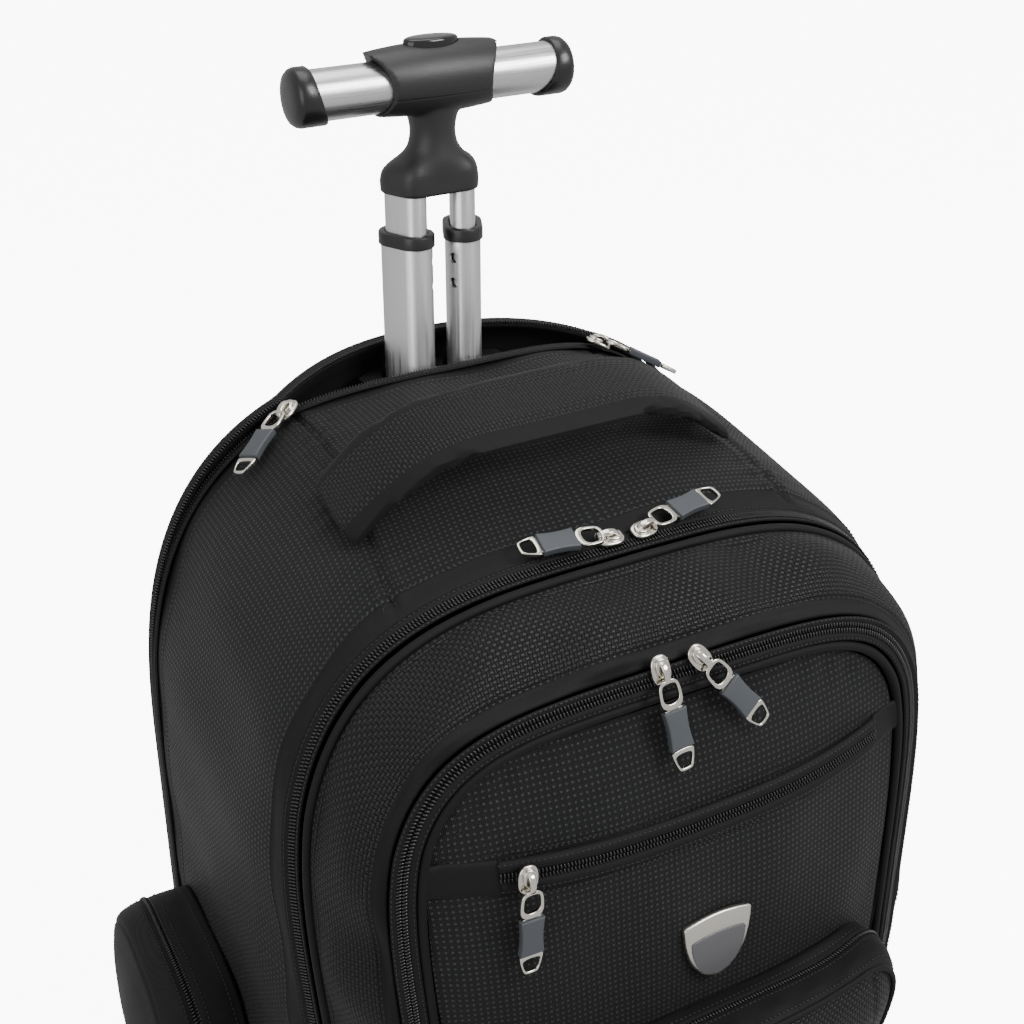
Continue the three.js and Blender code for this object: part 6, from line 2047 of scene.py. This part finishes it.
class BACKPACK_OT_grip(bpy.types.Operator):
    """Build the T-grip: the moulding, the bar, its end caps and the release button"""
    bl_idname = "backpack.grip"
    bl_label = "Grip"

    def execute(self, context):
        self.moulding()
        bore = 10.9
        wall = [(bore, -BAR_HALF), (BAR_RADIUS, -BAR_HALF), (BAR_RADIUS, BAR_HALF), (bore, BAR_HALF)]
        bar = lathe("grip_bar_tube", wall,
                    (0, TROLLEY_Y, BAR_HEIGHT), 96, [materials("aluminium_bar")])
        finish_piece(crisp(bar), ["grip_bar"], body="upper_stage")
        for side, name in ((-1, "left"), (1, "right")):
            self.cap(side, name)
        self.button()
        return {"FINISHED"}

    def moulding(self):
        count = 96
        angles = np.linspace(0, 2 * math.pi, count, endpoint=False)
        reach = skirt_reach(angles)
        rise = np.linspace(-0.17, 0.84, 60)
        places = column(GRIP_ROWS, "rise")
        wrap, wide, deep = (curve_through(places, column(GRIP_ROWS, key), rise)[:, None]
                            for key in ("wrap", "wide", "deep"))
        x = mix(SKIRT_HALF * np.cos(angles), reach * np.cos(angles), wrap) * wide
        y = mix(SKIRT_DEPTH * np.sin(angles), reach * np.sin(angles), wrap) * deep + TROLLEY_Y
        z = mix(SKIRT_BOTTOM + SKIRT_HEIGHT, BAR_HEIGHT, rise)[:, None]
        z = np.broadcast_to(np.maximum(z, SKIRT_BOTTOM), x.shape)
        body = grid_body("grip_moulding_cover", np.stack([x, y, z], -1), [materials("grip_plastic")],
                         wrap_columns=True, capped=True)
        share = np.linspace(-1, 1, 41)
        radius = BARREL_RADIUS * (1 - 0.13 * share ** 2)
        profile = [(0.01, -BARREL_HALF)] + list(zip(radius, share * BARREL_HALF)) + [(0.01, BARREL_HALF)]
        barrel = lathe("barrel", profile, (0, TROLLEY_Y, BAR_HEIGHT + BARREL_RISE), 72, [])
        boolean(body, [barrel], "UNION")
        crescents = []
        for x in (-CRESCENT_X, CRESCENT_X):
            front, back = ((x, TROLLEY_Y + reach, BAR_HEIGHT) for reach in (-30, 30))
            crescents.append(cylinder("crescent", CRESCENT_RADIUS, front, back, 64))
        boolean(body, crescents)
        remesh = body.modifiers.new("voxels", "REMESH")
        remesh.mode = "VOXEL"
        remesh.voxel_size = 0.0009
        soften = body.modifiers.new("soften", "SMOOTH")
        soften.iterations = 5
        soften.factor = 0.5
        apply_modifiers(body)
        body.data.polygons.foreach_set("use_smooth", np.full(len(body.data.polygons), True))
        through = (-40, TROLLEY_Y, BAR_HEIGHT), (40, TROLLEY_Y, BAR_HEIGHT)
        tools = [cylinder("bore", BAR_RADIUS + GAP, *through, 96)]
        for side in (-1, 1):
            tube = stadium(side, INNER_LONG, INNER_SHORT, GAP)
            tools.append(prism("socket", tube, SKIRT_BOTTOM - 2, SKIRT_BOTTOM + 9.3))
        recess = np.array(oval(0, 14.9, 7.9, count=64)) + [0, TROLLEY_Y]
        tools.append(prism("recess", recess, BAR_HEIGHT, BAR_HEIGHT + 22))
        boolean(body, tools)
        body.data.materials.clear()
        body.data.materials.append(materials("grip_plastic"))
        crisp(body, 40)
        finish_piece(body, ["grip_moulding"], body="upper_stage")

    def cap(self, side, name):
        """An end cap whose edge reaches further in under the bar."""
        start, end = BAR_HALF - 1.5, BAR_HALF + 9.0
        rows = [(12.8, start, 1), (14.0, start, 1), (14.4, start + 0.6, 0.9), (14.4, end - 5, 0),
                (13.9, end - 3.2, 0), (12.6, end - 1.6, 0), (9.5, end - 0.5, 0), (5.0, end, 0),
                (0.05, end, 0), (0.05, BAR_HALF + 0.3, 0),
                (12.8, BAR_HALF + 0.3, 0)]
        turn = np.linspace(0, 2 * math.pi, 72, endpoint=False)
        under = (0.5 - 0.5 * np.sin(turn)) ** 2 * 8.0
        grid = []
        for radius, place, slide in rows:
            x = side * (place - under * slide)
            grid.append(np.stack([np.broadcast_to(x, turn.shape), TROLLEY_Y + radius * np.cos(turn),
                                  BAR_HEIGHT + radius * np.sin(turn)], -1))
        obj = grid_body("end_cap_cover_" + name, np.array(grid), [materials("satin_plastic")],
                        wrap_columns=True, wrap_rows=True)
        finish_piece(crisp(obj, 50), ["end_cap_" + name], body="upper_stage")

    def button(self):
        top = BAR_HEIGHT + BARREL_RISE + BARREL_RADIUS + 2.4
        rows = [(0.02, -5.0), (1.0, -5.0), (1.0, -1.7), (0.97, -0.9), (0.88, -0.35), (0.6, -0.08),
                (0.02, 0.0)]
        grid = []
        for size, drop in rows:
            ring = np.array(oval(0, 14.5 * size, 7.5 * size, count=64))
            grid.append(np.column_stack([ring[:, 0], ring[:, 1] + TROLLEY_Y, np.full(64, top + drop)]))
        obj = grid_body("release_button_cover", np.array(grid), [materials("glossy_plastic")],
                        wrap_columns=True, capped=True)
        finish_piece(crisp(obj, 50), ["release_button"], body="release_button")


class BACKPACK_OT_base(bpy.types.Operator):
    """Build the wheels and finish the tray, the trolley's foot and guide, and the axles"""
    bl_idname = "backpack.base"
    bl_label = "Base and wheels"

    def execute(self, context):
        for side, name in ((-1, "left"), (1, "right")):
            centre = (side * WHEEL_X, WHEEL_Y, WHEEL_RADIUS)
            half = WHEEL_WIDTH / 2
            tread = [(26.3, -half), (32, -half), (34.6, -half + 1.0), (36.0, -half + 3.6),
                     (36.0, -3.2), (35.0, -2.8),
                     (35.0, -1.8), (36.0, -1.4), (36.0, 1.4), (35.0, 1.8), (35.0, 2.8), (36.0, 3.2),
                     (36.0, half - 3.6), (34.6, half - 1.0), (32, half), (26.3, half)]
            tyre = lathe("tyre_cover_" + name, tread, centre, 96, [materials("tyre_rubber")])
            finish_piece(crisp(tyre), ["tyre_" + name], body="wheel_" + name)
            hub = [(4.25, -half), (9.4, -half), (10, -half + 0.6), (10.4, -half + 5), (12, -half + 6),
                   (22, -half + 6), (23.4, -half + 5.0), (24.6, -half + 0.9),
                   (26, -half + 0.5), (26, half - 0.5),
                   (24.6, half - 0.9), (23.4, half - 5.0), (22, half - 6), (12, half - 6), (10.4, half - 5),
                   (10, half - 0.6), (9.4, half), (4.25, half)]
            cover = lathe("hub_cover_" + name, hub, centre, 96, [materials("black_plastic")])
            finish_piece(crisp(cover), ["hub_" + name], body="wheel_" + name)
        for node, material in (("base_tray", "black_plastic"), ("trolley_foot", "black_plastic"),
                               ("trolley_guide", "black_plastic"), ("axle_left", "axle_steel"),
                               ("axle_right", "axle_steel")):
            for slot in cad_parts[node].material_slots:
                slot.material = materials(material)
        return {"FINISHED"}


# The shield's outline, as shares of its half width and its height
SHIELD_ROWS = [(0, 0.5), (0.5, 0.475), (0.9, 0.43), (0.97, 0.415), (1.0, 0.38), (0.985, 0.25), (0.93, 0.05),
               (0.8, -0.16), (0.58, -0.34), (0.3, -0.46), (0, -0.5)]
BADGE_X, BADGE_Z, BADGE_HALF, BADGE_HEIGHT = 7.0, 242.0, 19.0, 36.0


class BACKPACK_OT_badge(bpy.types.Operator):
    """Build the bare metal shield and its inset"""
    bl_idname = "backpack.badge"
    bl_label = "Badge"

    def execute(self, context):
        corners = [(-1, 0.4), (1, 0.4), (0, -0.5), (0, 0.5), (0, 0), (-1, 0), (1, 0)]
        faces = []
        for u, v in corners:
            rise = v * BADGE_HEIGHT
            faces.append(float(pocket_face(BADGE_X + u * BADGE_HALF, BADGE_Z + rise)) - rise * POCKET_LEAN)
        face = min(faces)
        origin = leaned(np.array([[BADGE_X, POCKET_Y, BADGE_Z]]))[0]
        basis = Matrix.Translation((origin[0], face - 0.9, BADGE_Z))
        basis = basis @ Matrix.Rotation(math.pi / 2 - math.atan(POCKET_LEAN), 4, "X")
        shield = plate("badge_shield", self.ring(1.0, 1.0, 0.0), [], 0.0, 3.0, 1.1, "brushed_nickel", basis)
        finish_piece(shield, ["badge_plate"])
        shield = self.ring(0.80, 0.66, -0.115)
        inset = plate("badge_inset_plate", shield, [], 2.9, 3.6, 0.2, "badge_grey", basis)
        finish_piece(inset, ["badge_inset"])
        return {"FINISHED"}

    @staticmethod
    def ring(wide, tall, shift):
        right = [(x * BADGE_HALF * wide, (y * tall + shift) * BADGE_HEIGHT) for x, y in SHIELD_ROWS]
        return smooth_ring(right + [(-x, y) for x, y in reversed(right[1:-1])])


class BACKPACK_OT_stage(bpy.types.Operator):
    """Set the camera, the white floor and the soft studio lights"""
    bl_idname = "backpack.stage"
    bl_label = "Stage"

    def execute(self, context):
        stage = context.scene.backpack_stage
        scene = context.scene
        camera = bpy.data.objects.new("camera", bpy.data.cameras.new("camera"))
        camera.data.lens = stage.lens
        camera.data.sensor_width = 36
        camera.location = stage.eye
        camera.rotation_euler = (Vector(stage.target) - Vector(stage.eye)).to_track_quat("-Z", "Y").to_euler()
        camera.data.clip_start = 0.01
        scene.collection.objects.link(camera)
        scene.camera = camera
        mesh = bpy.data.meshes.new("floor")
        reach = 6.0
        corners = [(-reach, -reach, 0), (reach, -reach, 0), (reach, reach, 0), (-reach, reach, 0)]
        mesh.from_pydata(corners, [], [(0, 1, 2, 3)])
        mesh.materials.append(materials("floor_paper"))
        floor = bpy.data.objects.new("floor", mesh)
        floor.location.z = -0.0005
        floor.visible_diffuse = False
        floor.visible_glossy = False
        scene.collection.objects.link(floor)
        lights = [
            self.light("key", (0.9, -1.3, 1.7), (0.0, -0.05, 0.3), stage.key_power, 0.9),
            self.light("fill", (-1.5, -0.7, 0.9), (0.0, 0.0, 0.3), stage.fill_power, 1.2),
            self.light("top", (0.1, 0.3, 1.8), (0.0, 0.0, 0.4), stage.fill_power, 1.0),
        ]
        world = bpy.data.worlds.new("studio")
        world.use_nodes = True
        tree = world.node_tree
        tree.nodes.clear()
        glow = add(tree, "ShaderNodeBackground", {"Color": (1, 1, 1, 1), "Strength": stage.world})
        output = add(tree, "ShaderNodeOutputWorld")
        tree.links.new(glow.outputs[0], output.inputs[0])
        scene.world = world
        return {"FINISHED"}

    @staticmethod
    def light(name, place, target, power, size):
        data = bpy.data.lights.new(name, "AREA")
        data.energy = power
        data.size = size
        obj = bpy.data.objects.new(name, data)
        obj.location = place
        obj.rotation_euler = (Vector(target) - Vector(place)).to_track_quat("-Z", "Y").to_euler()
        bpy.context.scene.collection.objects.link(obj)
        return obj


OPERATORS = (
    BACKPACK_OT_main_shell, BACKPACK_OT_rear, BACKPACK_OT_front_zips, BACKPACK_OT_front_pocket,
    BACKPACK_OT_lower_pocket, BACKPACK_OT_side_pockets, BACKPACK_OT_carry_handle, BACKPACK_OT_back,
    BACKPACK_OT_pulls, BACKPACK_OT_trolley, BACKPACK_OT_grip, BACKPACK_OT_base, BACKPACK_OT_badge,
    BACKPACK_OT_stage,
)


class BACKPACK_PT_build(bpy.types.Panel):
    """Lists the steps that build the backpack"""
    bl_label = "Wheeled backpack"
    bl_idname = "BACKPACK_PT_build"
    bl_space_type = "VIEW_3D"
    bl_region_type = "UI"
    bl_category = "Backpack"

    def draw(self, context):
        for operator in OPERATORS:
            self.layout.operator(operator.bl_idname)
        for settings in SETTINGS:
            group = getattr(context.scene, settings)
            for key in group.bl_rna.properties.keys():
                if key not in ("rna_type", "name"):
                    self.layout.prop(group, key)


SETTINGS = {
    "backpack_cloth": ClothSettings,
    "backpack_zips": ZipSettings,
    "backpack_hardware": HardwareSettings,
    "backpack_stage": StageSettings,
}


def register():
    for name, group in SETTINGS.items():
        bpy.utils.register_class(group)
        setattr(bpy.types.Scene, name, bpy.props.PointerProperty(type=group))
    for operator in OPERATORS:
        bpy.utils.register_class(operator)
    bpy.utils.register_class(BACKPACK_PT_build)


def unregister():
    bpy.utils.unregister_class(BACKPACK_PT_build)
    for operator in reversed(OPERATORS):
        bpy.utils.unregister_class(operator)
    for name, group in SETTINGS.items():
        delattr(bpy.types.Scene, name)
        bpy.utils.unregister_class(group)


def main():
    register()
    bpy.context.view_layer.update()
    bpy.ops.backpack.main_shell()
    bpy.ops.backpack.rear()
    bpy.ops.backpack.front_zips()
    bpy.ops.backpack.front_pocket()
    bpy.ops.backpack.lower_pocket()
    bpy.ops.backpack.side_pockets()
    bpy.ops.backpack.carry_handle()
    bpy.ops.backpack.back()
    bpy.ops.backpack.pulls()
    bpy.ops.backpack.trolley()
    bpy.ops.backpack.grip()
    bpy.ops.backpack.base()
    bpy.ops.backpack.badge()
    bpy.ops.backpack.stage()


if __name__ == "__main__":
    main()
